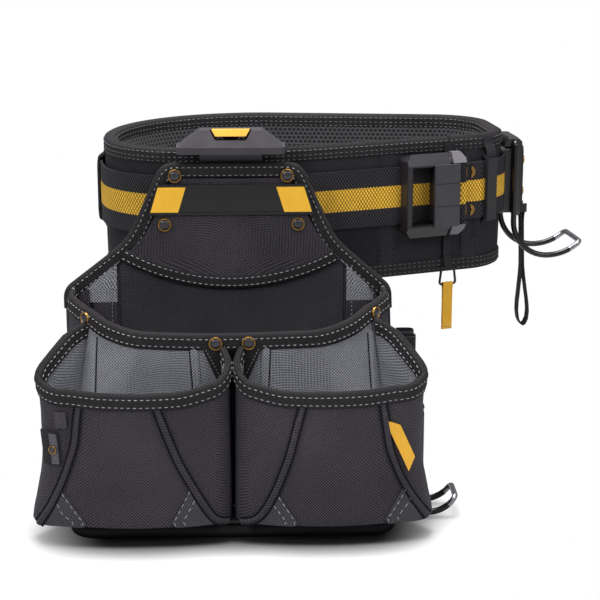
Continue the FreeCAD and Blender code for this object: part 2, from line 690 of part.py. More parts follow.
def holder_rivets():
    """Four brass rivets through the facing and the clip."""
    face = CLIP_FRONT - HOLDER_PANEL
    places = [(x, z) for x in (-13.0, 13.0) for z in (HOLDER_LOW + 23, HOLDER_LOW + 52)]
    return group([place(rivet(x, z, face, 8.0), HOLDER_PLACE) for x, z in places])


def hook_side(pivot, centre, bend, tip_bend, tip_deg):
    """Path of one side of a hook in the y-z plane, as straight run, bend and tip arc.

    The run leaves the pivot and meets the bend as a tangent; the tip arc rises from the bend's foot.
    """
    reach = centre - pivot
    distance = reach.Length
    slant = math.asin(bend / distance)
    base = math.atan2(reach.z, reach.y)
    way = base + slant
    run = math.sqrt(distance ** 2 - bend ** 2)
    touch = pivot + V(0, math.cos(way), math.sin(way)) * run
    foot = centre + V(0, 0, -bend)
    first = math.atan2(touch.z - centre.z, touch.y - centre.y)
    middle = (first + math.radians(-90)) / 2
    on_bend = centre + V(0, math.cos(middle), math.sin(middle)) * bend

    def rising(degrees):
        a = math.radians(degrees)
        return foot + V(0, -math.sin(a) * tip_bend, (1 - math.cos(a)) * tip_bend)

    return touch, on_bend, foot, rising


def coated_hook(pivot, centre, bend, tip_bend, tip_deg, spacing):
    """The coated length of a wire hook: cross bar, two sides, and both bends up to the bare tip."""
    touch, on_bend, foot, rising = hook_side(pivot, centre, bend, tip_bend, tip_deg)
    half = spacing / 2
    turn = HOOK_TURN
    down = (touch - pivot).normalize()
    coated = tip_deg - BARE_TIP_DEG
    pieces = []
    for side in (-1, 1):
        def at(point):
            return V(side * half, point.y, point.z)
        corner = at(pivot)
        before, after = V(-side, 0, 0), down
        start = corner + before * turn
        end = corner + after * turn
        centre_turn = corner + (before + after) * turn
        mid = centre_turn + (corner - centre_turn).normalize() * turn
        edges = [Part.makeLine(V(0, pivot.y, pivot.z), start), Part.Arc(start, mid, end).toShape(),
                 Part.makeLine(end, at(touch)), Part.Arc(at(touch), at(on_bend), at(foot)).toShape(),
                 Part.Arc(at(foot), at(rising(coated / 2)), at(rising(coated))).toShape()]
        pieces.append(swept(Part.Wire(edges), HOOK_WIRE / 2))
    return fuse(pieces)


def bare_tip(pivot, centre, bend, tip_bend, tip_deg, spacing):
    """The bare steel end of a hook, where its two sides meet in a square-cornered bow."""
    rising = hook_side(pivot, centre, bend, tip_bend, tip_deg)[3]
    half = spacing / 2
    turn = 5.0
    radius = HOOK_WIRE / 2 - 0.2
    start_deg, end_deg = tip_deg - BARE_TIP_DEG, tip_deg
    a = math.radians(end_deg)
    way = V(0, -math.cos(a), math.sin(a))
    edges = []
    for side in (-1, 1):
        def at(point):
            return V(side * half, point.y, point.z)
        rise = Part.Arc(at(rising(start_deg)), at(rising((start_deg + end_deg) / 2)),
                        at(rising(end_deg))).toShape()
        corner = at(rising(end_deg)) + way * turn
        end = corner + V(-side, 0, 0) * turn
        centre_turn = at(rising(end_deg)) + V(-side, 0, 0) * turn
        mid = centre_turn + (corner - centre_turn).normalize() * turn
        bow = Part.Arc(at(rising(end_deg)), mid, end).toShape()
        edges += [rise, bow] if side < 0 else [bow, rise]
        if side < 0:
            edges.append(Part.makeLine(end, V(-end.x, end.y, end.z)))
    return swept(Part.Wire(Part.__sortEdges__(edges)), radius)


HOLDER_HOOK = (V(0, HOOK_PIVOT_Y, HOOK_PIVOT_Z), V(0, HOOK_PIVOT_Y - HOOK_BEND, 212.5), HOOK_BEND,
               HOOK_TIP_BEND, HOOK_TIP_DEG, HOOK_SPACING)
TETHER_PIN_Y = CLIP_FRONT - HOLDER_PANEL - 3.2
TETHER_PIN_Z = HOLDER_LOW + 6.0
TETHER_X = -4.0


def tether_anchor():
    """A small loop at the foot of the holder that the hanging webbing loop turns in."""
    half = TETHER_WIDE / 2 + 1
    face = CLIP_FRONT - HOLDER_PANEL
    cheeks = []
    for side in (-1, 1):
        x0, x1 = sorted((TETHER_X + side * half, TETHER_X + side * (half + 2)))
        cheeks.append(box(x0, x1, TETHER_PIN_Y - 3, face, TETHER_PIN_Z - 4, TETHER_PIN_Z + 4))
    pin = Part.makeCylinder(1.2, 2 * half, V(TETHER_X - half, TETHER_PIN_Y, TETHER_PIN_Z), V(1, 0, 0))
    return place(fuse(cheeks + [pin]), HOLDER_PLACE)


def tether_loop():
    """Hanging loop of narrow webbing: doubled above, open like a long drop below."""
    t = TETHER_THICK
    hole = 1.2 + PIN_GAP
    top, y = TETHER_PIN_Z, TETHER_PIN_Y
    join, foot = top - TETHER_NECK, top - TETHER_LONG
    spread, wide_z = 6.0, foot + 13.0

    def drop(inset, peak):
        """Solid drop shape: straight sides from a peak to the widest place, and a round foot."""
        half = spread - inset
        left, right = V(0, y - half, wide_z), V(0, y + half, wide_z)
        edges = [Part.makeLine(V(0, y, peak), right),
                 Part.Arc(right, V(0, y, foot + inset), left).toShape(),
                 Part.makeLine(left, V(0, y, peak))]
        return Part.Face(Part.Wire(edges)).extrude(V(TETHER_WIDE, 0, 0))

    slant = math.atan2(spread, join - wide_z)
    neck = box(0, TETHER_WIDE, y - t, y + t, join - 14, top)
    eye = Part.makeCylinder(hole + t, TETHER_WIDE, V(0, y, top), V(1, 0, 0))
    body = fuse([neck, eye, drop(0, join)]).cut(drop(t, join - t / math.sin(slant)))
    body = body.cut(Part.makeCylinder(hole, TETHER_WIDE + 2, V(-1, y, top), V(1, 0, 0)))
    body.translate(V(TETHER_X - TETHER_WIDE / 2, 0, 0))
    return place(body, HOLDER_PLACE)


# ---------------------------------------------------------------- pouch: back panel and its trim
def panel_outline(grow, foot_z):
    """Outline of the back panel in the XZ plane: a bottle shape, wide below and narrow at the clip."""
    top, neck, shoulder = PANEL_TOP_Z + grow, NECK_HALF + grow, SHOULDER_HALF + grow
    foot = FOOT_HALF + grow
    right = [(PANEL_TOP_HALF + grow, top), (neck, NECK_Z), (shoulder, SHOULDER_Z + grow * 0.4),
             (foot, foot_z)]
    points = right + [(-x, z) for x, z in reversed(right)]
    points = [(x + SHOULDER_SHIFT, z) if abs(x) == shoulder else (x, z) for x, z in points]
    radii = [15.0 + grow, 60.0, 14.0 + grow, 10.0]
    radii = radii + radii[::-1]
    return rounded_outline([V(x, z, 0) for x, z in points], radii)


def upright(wire, y0, y1):
    """A plate from an outline drawn in plan, stood up so that it spans y0 to y1."""
    plate = Part.Face(wire).extrude(V(0, 0, y1 - y0))
    plate.rotate(V(0, 0, 0), V(1, 0, 0), 90)
    plate.translate(V(0, y1, 0))
    return plate


def back_panel():
    """Stiffened back panel that everything on the pouch is sewn to."""
    return upright(panel_outline(0, FOOT_Z), -PANEL_THICK, 0)


def back_binding():
    """Wide tape folded over the back panel's edge, from shoulder to shoulder."""
    around = upright(panel_outline(TAPE_SKIN, FOOT_Z - TAPE_SKIN), -PANEL_THICK - TAPE_SKIN, TAPE_SKIN)
    inside = upright(panel_outline(-TAPE_WIDE, FOOT_Z), -PANEL_THICK - 5, 5)
    tape = around.cut(inside).cut(back_panel())
    low = box(-200, 200, -50, 50, 0, SHOULDER_Z - 1)
    return tape.cut(low).cut(clip_room())


def back_lining():
    """Thin lining on the inside of the back panel, below the tape."""
    sheet = upright(panel_outline(-TAPE_WIDE - 0.5, FOOT_Z), -PANEL_THICK - 1.0, -PANEL_THICK)
    keep = box(-200, 200, -50, 50, FOOT_Z + 4, SHOULDER_Z + 20)
    return sheet.common(keep)


def hem_disc(y0, y1, drop):
    """A round plate whose lower rim is the curved hem of the label panel."""
    sagitta, half = 24.5, 93.0
    radius = (half ** 2 + sagitta ** 2) / (2 * sagitta)
    centre = HEM_Z + drop + radius
    return Part.makeCylinder(radius, y1 - y0, V(0, y0, centre), V(0, 1, 0))


HEM_Z = 184.5
LABEL_PANEL_Y = (-PANEL_THICK - 4.0, -PANEL_THICK - 1.6)


def label_panel():
    """Facing over the upper back panel, ending below in a curved hem."""
    y0, y1 = LABEL_PANEL_Y
    sheet = upright(panel_outline(-TAPE_WIDE - 0.4, FOOT_Z), y0, y1)
    return sheet.common(hem_disc(y0, y1, 0)).cut(box(-200, 200, -60, 60, 0, HEM_Z - 1))


def label_hem():
    """Folded band along the label panel's curved foot."""
    y0, y1 = LABEL_PANEL_Y
    rim = hem_disc(y0 - 0.9, y0, 0).cut(hem_disc(y0 - 2, y0 + 2, 10.0))
    sheet = upright(panel_outline(-TAPE_WIDE - 0.4, FOOT_Z), y0 - 2, y0 + 2)
    return rim.common(sheet).cut(box(-200, 200, -60, 60, NECK_Z - 6, 400))


LABEL_PLATE_Z = (249.6, 271.0)
LABEL_RIDGE = 1.6


def slanted(half_top, half_low, z0, z1, y0, y1):
    """A plate with slanted ends, wider at its foot."""
    return prism([V(-half_low, y0, z0), V(half_low, y0, z0), V(half_top, y0, z1), V(-half_top, y0, z1)],
                 V(0, y1 - y0, 0))


def label_plate():
    """Glossy moulded plate with a ridge above and below; its middle is bare."""
    z0, z1 = LABEL_PLATE_Z
    y1 = LABEL_PANEL_Y[0]
    y0 = y1 - 2.2
    body = slanted(61.5, 68.5, z0 - 2, z1 + 2, y0, y1)
    field = slanted(61.0, 67.5, z0, z1, y0 - 1, y0 + 0.9)
    return body.cut(field)


def label_inserts():
    """Two slanted coloured inserts, one at each end of the label plate."""
    z0, z1 = LABEL_PLATE_Z
    y0 = LABEL_PANEL_Y[0] - 2.6
    y1 = LABEL_PANEL_Y[0] - 1.3
    pieces = []
    for side in (-1, 1):
        inner_top, inner_low = side * 37.5, side * 44.0
        outer_top, outer_low = side * 60.5, side * 67.0
        pieces.append(prism([V(inner_low, y0, z0 + 0.2), V(outer_low, y0, z0 + 0.2),
                             V(outer_top, y0, z1 - 0.2), V(inner_top, y0, z1 - 0.2)], V(0, y1 - y0, 0)))
    return group(pieces)


# ---------------------------------------------------------------- pouch: clip
CLIP_HEAD_Z = (298.8, 304.5, 317.6)
CLIP_HEAD_Y = (-17.0, 13.0)
BUTTON_Z = (313.2, 317.2)
BUTTON_TRAVEL = 3.0
BUTTON_HALF = (12.6, 16.2)
SPRING_ROOM = 3.4


def clip_room():
    """The space that the clip's plate takes at the top of the back panel."""
    return box(-HUB_WIDE / 2 - 5.4, HUB_WIDE / 2 + 5.4, -0.01, 20, HUB_LOW - 10, 400)


def clip_head():
    """The clip's bevelled head: a lip below and a body that leans back and narrows upwards."""
    low, shelf, top = CLIP_HEAD_Z
    y0, y1 = CLIP_HEAD_Y
    lip = box(-45, 45, y0, y1, low, shelf)
    lip = rounded(lip, 6.0, lambda e: along_axis(e, 2) and e.CenterOfMass.y < 0)
    foot = [V(-43, y0 + 1.2, shelf), V(43, y0 + 1.2, shelf), V(43, y1, shelf), V(-43, y1, shelf)]
    crown = [V(-26, y0 + 8, top), V(26, y0 + 8, top), V(26, y1 - 4, top), V(-26, y1 - 4, top)]
    body = Part.makeLoft([Part.makePolygon(foot + foot[:1]), Part.makePolygon(crown + crown[:1])],
                         True, True)
    return fuse([lip, body])


def button_shape(grow, low, drop=0.0):
    """The release button: a block, narrower at its foot; drop widens it for the way that it travels."""
    z0, z1 = BUTTON_Z[0] - drop, BUTTON_Z[1] + 2
    y0 = CLIP_HEAD_Y[0] - 2
    low_half, top_half = BUTTON_HALF
    wider = drop * (top_half - low_half) / (z1 - z0 - drop)
    low_half, top_half = low_half + grow, top_half + grow + wider
    return prism([V(-low_half, y0, low), V(low_half, y0, low), V(low_half, y0, z0), V(top_half, y0, z1),
                  V(-top_half, y0, z1), V(-low_half, y0, z0)], V(0, 17.0 + grow, 0))


def clip_body():
    """The pouch's moulded clip: head, plate and rails in one piece, with the button's pocket."""
    half = HUB_WIDE / 2 + 5
    y_back = HUB_LINE_Y + CLIP_BACK
    plate = box(-half, half, 0, y_back, HUB_LOW, CLIP_HEAD_Z[0] + 1)
    rails = [r.translated(V(0, HUB_LINE_Y, 0)) for r in clip_rails(HUB_LOW + 4, TONGUE_HIGH + 4)]
    body = fuse([plate, clip_head()] + rails)
    pocket = button_shape(0.3, BUTTON_Z[0] - SPRING_ROOM, BUTTON_TRAVEL)
    latch_way = box(-6.5, 6.5, 1.0, y_back + 0.01, LATCH_LOW - BUTTON_TRAVEL - 1, BUTTON_Z[0])
    head_way = box(-6.5, 6.5, -3.5, 4.8, CLIP_HEAD_Z[0] + 2, BUTTON_Z[0])
    return body.cut(pocket).cut(latch_way).cut(head_way)


LATCH_LOW = TONGUE_HIGH + 6.0


def clip_button():
    """The coloured button cap, level with the head's top and front faces."""
    z0, z1 = BUTTON_Z
    cap = button_shape(0, z0)
    skin = clip_head()
    skin.translate(V(0, -0.6, 0.5))
    return cap.common(skin).cut(box(-60, 60, -60, 60, 0, z0))


def clip_latch():
    """Latch stem under the button: it runs down inside the clip's plate to its catch."""
    z0 = BUTTON_Z[0]
    y_back = HUB_LINE_Y + CLIP_BACK
    neck = box(-6, 6, -3.0, 4.4, z0 - 2.0, z0)
    stem = box(-6, 6, 1.6, 4.4, LATCH_LOW, z0 - 1)
    catch = prism([V(-6, 1.6, LATCH_LOW), V(-6, y_back - 0.4, LATCH_LOW + 2), V(-6, y_back - 0.4, LATCH_LOW + 5),
                   V(-6, 1.6, LATCH_LOW + 7)], V(12, 0, 0))
    return fuse([neck, stem, catch])


def button_springs():
    """Two bent leaf springs under the button."""
    z0 = BUTTON_Z[0] - SPRING_ROOM
    rise = SPRING_ROOM
    leaf = 0.5
    springs = []
    for side in (-1, 1):
        x = side * 8.8
        points = [V(x - 3.5, 0, z0), V(x - 2.5, 0, z0), V(x, 0, z0 + rise - leaf), V(x + 2.5, 0, z0),
                  V(x + 3.5, 0, z0), V(x + 3.5, 0, z0 + leaf), V(x + 2.8, 0, z0 + leaf),
                  V(x + 0.4, 0, z0 + rise), V(x - 0.4, 0, z0 + rise), V(x - 2.8, 0, z0 + leaf),
                  V(x - 3.5, 0, z0 + leaf)]
        strip = prism(points, V(0, 5, 0))
        strip.translate(V(0, -8, 0))
        springs.append(strip)
    return group(springs)


# ---------------------------------------------------------------- pouch: pockets
def pocket_plan(z, half, side_y, corner, front_y, bow, bulge, inset, shift=0.0):
    """Plan section of the main pocket: straight back, sides, full corners and a bowed front."""
    half, front_y = half - inset, front_y + inset
    corner = max(corner - inset, 2.0)
    back_y = -PANEL_THICK - LINING_SKIN
    left, right = V(-half, back_y, z), V(half, back_y, z)
    left_side, right_side = V(-half, side_y, z), V(half, side_y, z)
    turn_left = V(-half + corner, front_y + bow, z)
    turn_right = V(half - corner, front_y + bow, z)

    def knee(a, b):
        middle = (a + b) * 0.5
        return middle + (V(a.x, b.y, z) - middle) * bulge

    edges = [Part.makeLine(left, left_side),
             Part.Arc(left_side, knee(left_side, turn_left), turn_left).toShape(),
             Part.Arc(turn_left, V(0, front_y, z), turn_right).toShape(),
             Part.Arc(turn_right, knee(right_side, turn_right), right_side).toShape(),
             Part.makeLine(right_side, right), Part.makeLine(right, left)]
    return Part.Wire(edges).translated(V(shift, 0, 0))


LINING_SKIN = 1.0
MAIN_TOP = 190.0
LOWER_TOP = 185.0


def main_form(inset):
    """The main pocket's outer form, or the room inside it when inset by the cloth's thickness."""
    foot = pocket_plan(FOOT_Z, FOOT_HALF, -62.0, 20.0, -MAIN_DEEP, 2.0, 0.41, inset)
    lip = pocket_plan(MAIN_TOP, SHOULDER_HALF - 1, -24.0, 74.0, -MAIN_DEEP - 7, 5.0, 0.17, inset,
                      SHOULDER_SHIFT)
    return Part.makeLoft([foot, lip], True, True)


def lip_cutter(drop):
    """Everything above the main pocket's lip: level in front, rising to the shoulders behind."""
    z = MAIN_LIP_Z - drop
    points = [V(-200, -200, z), V(-200, -MAIN_DEEP - 7, z), V(-200, MAIN_LIP_END_Y, z + MAIN_LIP_END_RISE),
              V(-200, -6, SHOULDER_Z - 2 - drop), V(-200, 10, SHOULDER_Z - drop), V(-200, 10, 400),
              V(-200, -200, 400)]
    return prism(points, V(400, 0, 0))


def floor_block():
    """Everything below the top of the pockets' floor."""
    return box(-300, 300, -300, 300, 0, FOOT_Z + CLOTH)


def main_pocket():
    """The large pocket: bowed front, sides that close on the back panel, and a floor."""
    return main_form(0).cut(main_form(CLOTH).cut(floor_block())).cut(lip_cutter(0))


def main_lip_binding():
    """Tape folded over the main pocket's lip, on both sides of the cloth."""
    wall = main_form(-TAPE_SKIN).cut(main_form(CLOTH + TAPE_SKIN))
    band = wall.common(lip_cutter(LIP_BAND)).cut(lip_cutter(-TAPE_SKIN))
    band = band.cut(main_form(0).cut(lip_cutter(0)).cut(main_form(CLOTH)))
    return band.common(box(-200, 200, -200, -PANEL_THICK - 6, 0, 400))


def lower_form(side, inset):
    """A lower pocket's outer form on one side: a rounded box that wraps the main pocket's corner."""

    def plan(z, half, back_x):
        inner_x, outer_x = SLIT_HALF + inset, half - inset
        front, side_y, bow = -LOWER_FRONT + inset, -LOWER_SIDE_END, 9.0
        corner_in, corner_out = 16.0 - inset, 24.0 - inset
        inner_back = V(inner_x, side_y, z)
        inner_turn = V(inner_x, front + bow + corner_in, z)
        knee_in = V(inner_x + corner_in * 0.3, front + bow + corner_in * 0.3, z)
        turn_in = V(inner_x + corner_in, front + bow, z)
        belly = V((inner_x + outer_x) / 2, front, z)
        turn_out = V(outer_x - corner_out, front + bow, z)
        knee_out = V(outer_x - corner_out * 0.3, front + bow + corner_out * 0.3, z)
        outer_turn = V(outer_x, front + bow + corner_out, z)
        outer_back = V(back_x - inset, side_y, z)
        edges = [Part.makeLine(inner_back, inner_turn), Part.Arc(inner_turn, knee_in, turn_in).toShape(),
                 Part.Arc(turn_in, belly, turn_out).toShape(),
                 Part.Arc(turn_out, knee_out, outer_turn).toShape(),
                 Part.makeLine(outer_turn, outer_back), Part.makeLine(outer_back, inner_back)]
        return Part.Wire(edges)

    foot = plan(FOOT_Z, LOWER_HALF_FOOT, LOWER_BACK_FOOT)
    form = Part.makeLoft([foot, plan(LOWER_TOP, LOWER_HALF_TOP, LOWER_BACK_TOP)], True, True)
    if side < 0:
        form = form.mirror(V(0, 0, 0), V(1, 0, 0))
    return form


def lower_cutter(side, drop):
    """Everything above a lower pocket's lip, which rises along both sides towards the main lip."""
    inner = [(-200, 122), (-125, 128), (-93, 158), (-20, 165)]
    outer = [(-200, 120), (-98, 130), (-40, 168), (-20, 172)]
    wires = []
    for x, line in ((-10, inner), (LOWER_HALF_FOOT + 5, outer)):
        points = [V(x, y, z - drop) for y, z in line] + [V(x, -20, 300), V(x, -200, 300)]
        wires.append(Part.makePolygon(points + points[:1]))
    block = Part.makeLoft(wires, True, True)
    if side < 0:
        block = block.mirror(V(0, 0, 0), V(1, 0, 0))
    return block


def lower_wall(side):
    """The cloth of a lower pocket before the main pocket takes its share."""
    shell = lower_form(side, 0).cut(lower_form(side, CLOTH).cut(floor_block()))
    return shell.cut(lower_cutter(side, 0))


def lower_pocket(side):
    """A lower pocket: front, sides and floor, closed behind by the main pocket."""
    return lower_wall(side).cut(main_form(0)).cut(main_lip_binding())


def lower_binding(side):
    """Tape folded over a lower pocket's lip."""
    band = lower_form(side, -TAPE_SKIN).cut(lower_form(side, CLOTH + TAPE_SKIN))
    band = band.common(lower_cutter(side, LIP_BAND)).cut(lower_cutter(side, -TAPE_SKIN))
    reach = box(0.4, 300, -300, -LOWER_SIDE_END - 4, 0, 400)
    if side < 0:
        reach = reach.mirror(V(0, 0, 0), V(1, 0, 0))
    band = band.cut(lower_wall(side)).cut(main_form(-TAPE_SKIN - 0.3)).common(reach)
    return max(band.Solids, key=lambda solid: solid.Volume)


def on_pocket(side, outline, rise, skip=0.0):
    """A patch on a lower pocket's wall: an outline in the XZ plane laid on the cloth, rise thick."""
    shape = prism([V(x, -MAIN_DEEP - 14, z) for x, z in outline], V(0, -80, 0))
    if side < 0:
        shape = shape.mirror(V(0, 0, 0), V(1, 0, 0))
    return lower_form(side, -rise).cut(lower_form(side, -skip)).common(shape)


def strip(line, half):
    """Outline of a strip of constant width that follows a line in the XZ plane."""
    left, right = [], []
    for i, (x, z) in enumerate(line):
        x0, z0 = line[max(i - 1, 0)]
        x1, z1 = line[min(i + 1, len(line) - 1)]
        length = math.hypot(x1 - x0, z1 - z0)
        nx, nz = -(z1 - z0) / length * half, (x1 - x0) / length * half
        left.append((x + nx, z + nz))
        right.append((x - nx, z - nz))
    return left + right[::-1]


PIPING_OUTER = [(119, 113), (124, 88), (137, 52), (147, 29), (156, FOOT_Z)]
PIPING_INNER = [(57, 113), (46, 79), (34, 45), (22, 22), (14, FOOT_Z)]


def pocket_seams(side):
    """Two corded seams down the front of a lower pocket, where its side gussets begin."""
    lines = (PIPING_OUTER, PIPING_INNER)
    return group([on_pocket(side, strip(line, PIPING_HALF), PIPING_RISE) for line in lines])


def piping():
    """The corded seams of both lower pockets."""
    return group([pocket_seams(-1), pocket_seams(1)])


def corner_patches():
    """Wear patches at the lower front corners of both lower pockets, up to the corded seams."""
    outer = [(154, FOOT_Z), (145.5, 28), (140.5, 42), (119.5, 21), (121.5, FOOT_Z)]
    inner = [(18, FOOT_Z), (25.5, 24), (33.5, 41), (50.5, 20), (46.5, FOOT_Z)]
    patches = []
    for side in (-1, 1):
        patches += [on_pocket(side, outline, 1.0).cut(pocket_seams(side)) for outline in (outer, inner)]
    return group(patches)


def base_panel():
    """Stiff bottom board under the pockets."""
    board = box(-132, 132, -110, -3, FOOT_Z - 2.4, FOOT_Z)
    return rounded(board, 16.0, lambda e: along_axis(e, 2) and e.CenterOfMass.y < -50)


def pouch_rivets():
    """Six capped rivets: four fix the clip through the back panel, two join the pockets at the lip."""
    wall = -MAIN_DEEP - 6.1 - TAPE_SKIN
    heads = [rivet(x, z, LABEL_PANEL_Y[0]) for x, z in ((-46.5, 280), (46.5, 280), (-55.5, 239), (55.5, 239))]
    heads += [rivet(x, MAIN_LIP_Z - 6, wall) for x in (-13.2, 13.2)]
    return group(heads)


# ---------------------------------------------------------------- pouch: side fittings
def tape_tab():
    """A folded tab on the left pocket's corner that takes a tape measure's clip, and its strap."""
    tab = on_pocket(-1, [(136.5, 65.5), (153, 65.5), (153, 94), (136.5, 94)], TAB_RISE)
    strap = on_pocket(-1, [(128.5, 97), (139, 97), (139, 112), (128.5, 112)], 1.4)
    return group([tab, strap])


TAB_RISE = 2.2
TAB_STATION = (V(-144.4, -115.2, 0), -37.0)


def side_label():
    """A slanted moulded label on the right pocket's front corner, left bare."""
    return on_pocket(1, [(120, 104), (133, 98.5), (145, 71.5), (140, 60)], 1.6).cut(pocket_seams(1))


def tool_loops():
    """Two elastic loops on the right side of the main pocket."""
    pieces = []
    for y in (-34.0, -17.0):
        loop = box(FOOT_HALF - 9, FOOT_HALF + 13, y - 7.5, y + 7.5, 112, 150)
        hole = box(FOOT_HALF - 10, FOOT_HALF + 11.2, y - 5.7, y + 5.7, 111, 151)
        pieces.append(loop.cut(hole).cut(main_form(0)).cut(lower_form(1, 0)))
    return group(pieces)


POUCH_HOOK_X = 155.0
POUCH_HOOK_Y = -52.0
POUCH_HOOK_Z = 92.0
POUCH_HOOK_BEND = 7.0
POUCH_HOOK_SPACING = 31.0
BRACKET_HALF = 6.0
BRACKET_AT = 4.5
POUCH_HOOK = (V(0, 0, POUCH_HOOK_Z), V(0, -POUCH_HOOK_BEND, 11.5), POUCH_HOOK_BEND, 26.0, 50.0,
              POUCH_HOOK_SPACING)
POUCH_HOOK_PLACE = (V(POUCH_HOOK_X, POUCH_HOOK_Y, 0), 90.0)


def hook_bracket():
    """Bracket on the pouch's right side that carries the hook's cross bar."""
    z, x0, x1 = POUCH_HOOK_Z, BRACKET_AT - BRACKET_HALF, BRACKET_AT + BRACKET_HALF
    roll = Part.makeCylinder(HOOK_BORE + 1.6, x1 - x0, V(x0, 0, z), V(1, 0, 0))
    web = box(x0, x1, 0, POUCH_HOOK_X - FOOT_HALF + 6, z - HOOK_BORE - 1.6, z + HOOK_BORE + 1.6)
    back = POUCH_HOOK_X - FOOT_HALF
    plate = box(x0, x1, back - 1.0, back + 6, z - 18, z + 18)
    hole = Part.makeCylinder(HOOK_BORE, 60, V(-30, 0, z), V(1, 0, 0))
    body = place(fuse([roll, web, plate]).cut(hole), POUCH_HOOK_PLACE)
    return body.cut(main_form(0)).cut(lower_form(1, 0))


def small_rivets():
    """Three small rivets: two hold the hook's bracket and one goes through the tape tab."""
    face = POUCH_HOOK_X - FOOT_HALF - 1.0
    heads = [rivet(BRACKET_AT, POUCH_HOOK_Z + dz, face, SMALL_RIVET) for dz in (-11.5, 11.5)]
    heads = [place(head, POUCH_HOOK_PLACE) for head in heads]
    heads.append(place(rivet(0, 79.5, -TAB_RISE, SMALL_RIVET), TAB_STATION).cut(lower_form(-1, -TAB_RISE)))
    return group(heads)


# ---------------------------------------------------------------- stand
STAND_AXIS_Z = STAND_SLEEVE / 2 - 0.5
RAIL_Z = STAND_SLEEVE / 2
PIN_INNER = STAND_HALF - STAND_PIN - 10.0


def stand_wire():
    """Steel wire stand: a wide U under the pouch, its ends turned in as hinge pins."""
    y0, y1 = STAND_AXIS_Y, STAND_AXIS_Y - STAND_REACH
    points = [V(-PIN_INNER, y0, STAND_AXIS_Z), V(-STAND_HALF, y0, STAND_AXIS_Z),
              V(-STAND_HALF, y1, RAIL_Z), V(STAND_HALF, y1, RAIL_Z), V(STAND_HALF, y0, STAND_AXIS_Z),
              V(PIN_INNER, y0, STAND_AXIS_Z)]
    return bent_wire(points, STAND_WIRE / 2, [8.0, 14.0, 14.0, 8.0])


def stand_sleeve():
    """Rubber tube over the stand's front rail and both its corners; the pouch stands on it."""
    y = STAND_AXIS_Y - STAND_REACH
    back = y + 30.0
    rise = RAIL_Z + (STAND_AXIS_Z - RAIL_Z) * 30.0 / STAND_REACH
    points = [V(-STAND_HALF, back, rise), V(-STAND_HALF, y, RAIL_Z), V(STAND_HALF, y, RAIL_Z),
              V(STAND_HALF, back, rise)]
    return bent_wire(points, STAND_SLEEVE / 2, [14.0, 14.0]).cut(stand_wire())


def stand_hinges():
    """Two brackets on the back panel's foot with the tubes that the stand turns in."""
    pieces = []
    for side in (-1, 1):
        x0, x1 = sorted((side * (PIN_INNER - 3), side * (PIN_INNER + STAND_PIN)))
        tube = rod(STAND_AXIS_Z, V(x0, STAND_AXIS_Y, STAND_AXIS_Z), V(x1, STAND_AXIS_Y, STAND_AXIS_Z))
        plate = box(x0, x1, 0, 2.0, FOOT_Z + 2, FOOT_Z + 26)
        web = prism([V(x0, 0, FOOT_Z + 8), V(x0, 2.0, FOOT_Z + 8), V(x0, STAND_AXIS_Y + 3.5, STAND_AXIS_Z + 3),
                     V(x0, STAND_AXIS_Y - 3.5, STAND_AXIS_Z + 2), V(x0, 0, FOOT_Z - 1)], V(x1 - x0, 0, 0))
        bore = rod(STAND_WIRE / 2 + PIN_GAP, V(x0 - 5, STAND_AXIS_Y, STAND_AXIS_Z),
                   V(x1 + 5, STAND_AXIS_Y, STAND_AXIS_Z))
        pieces.append(fuse([tube, plate, web]).cut(bore))
    return group(pieces)


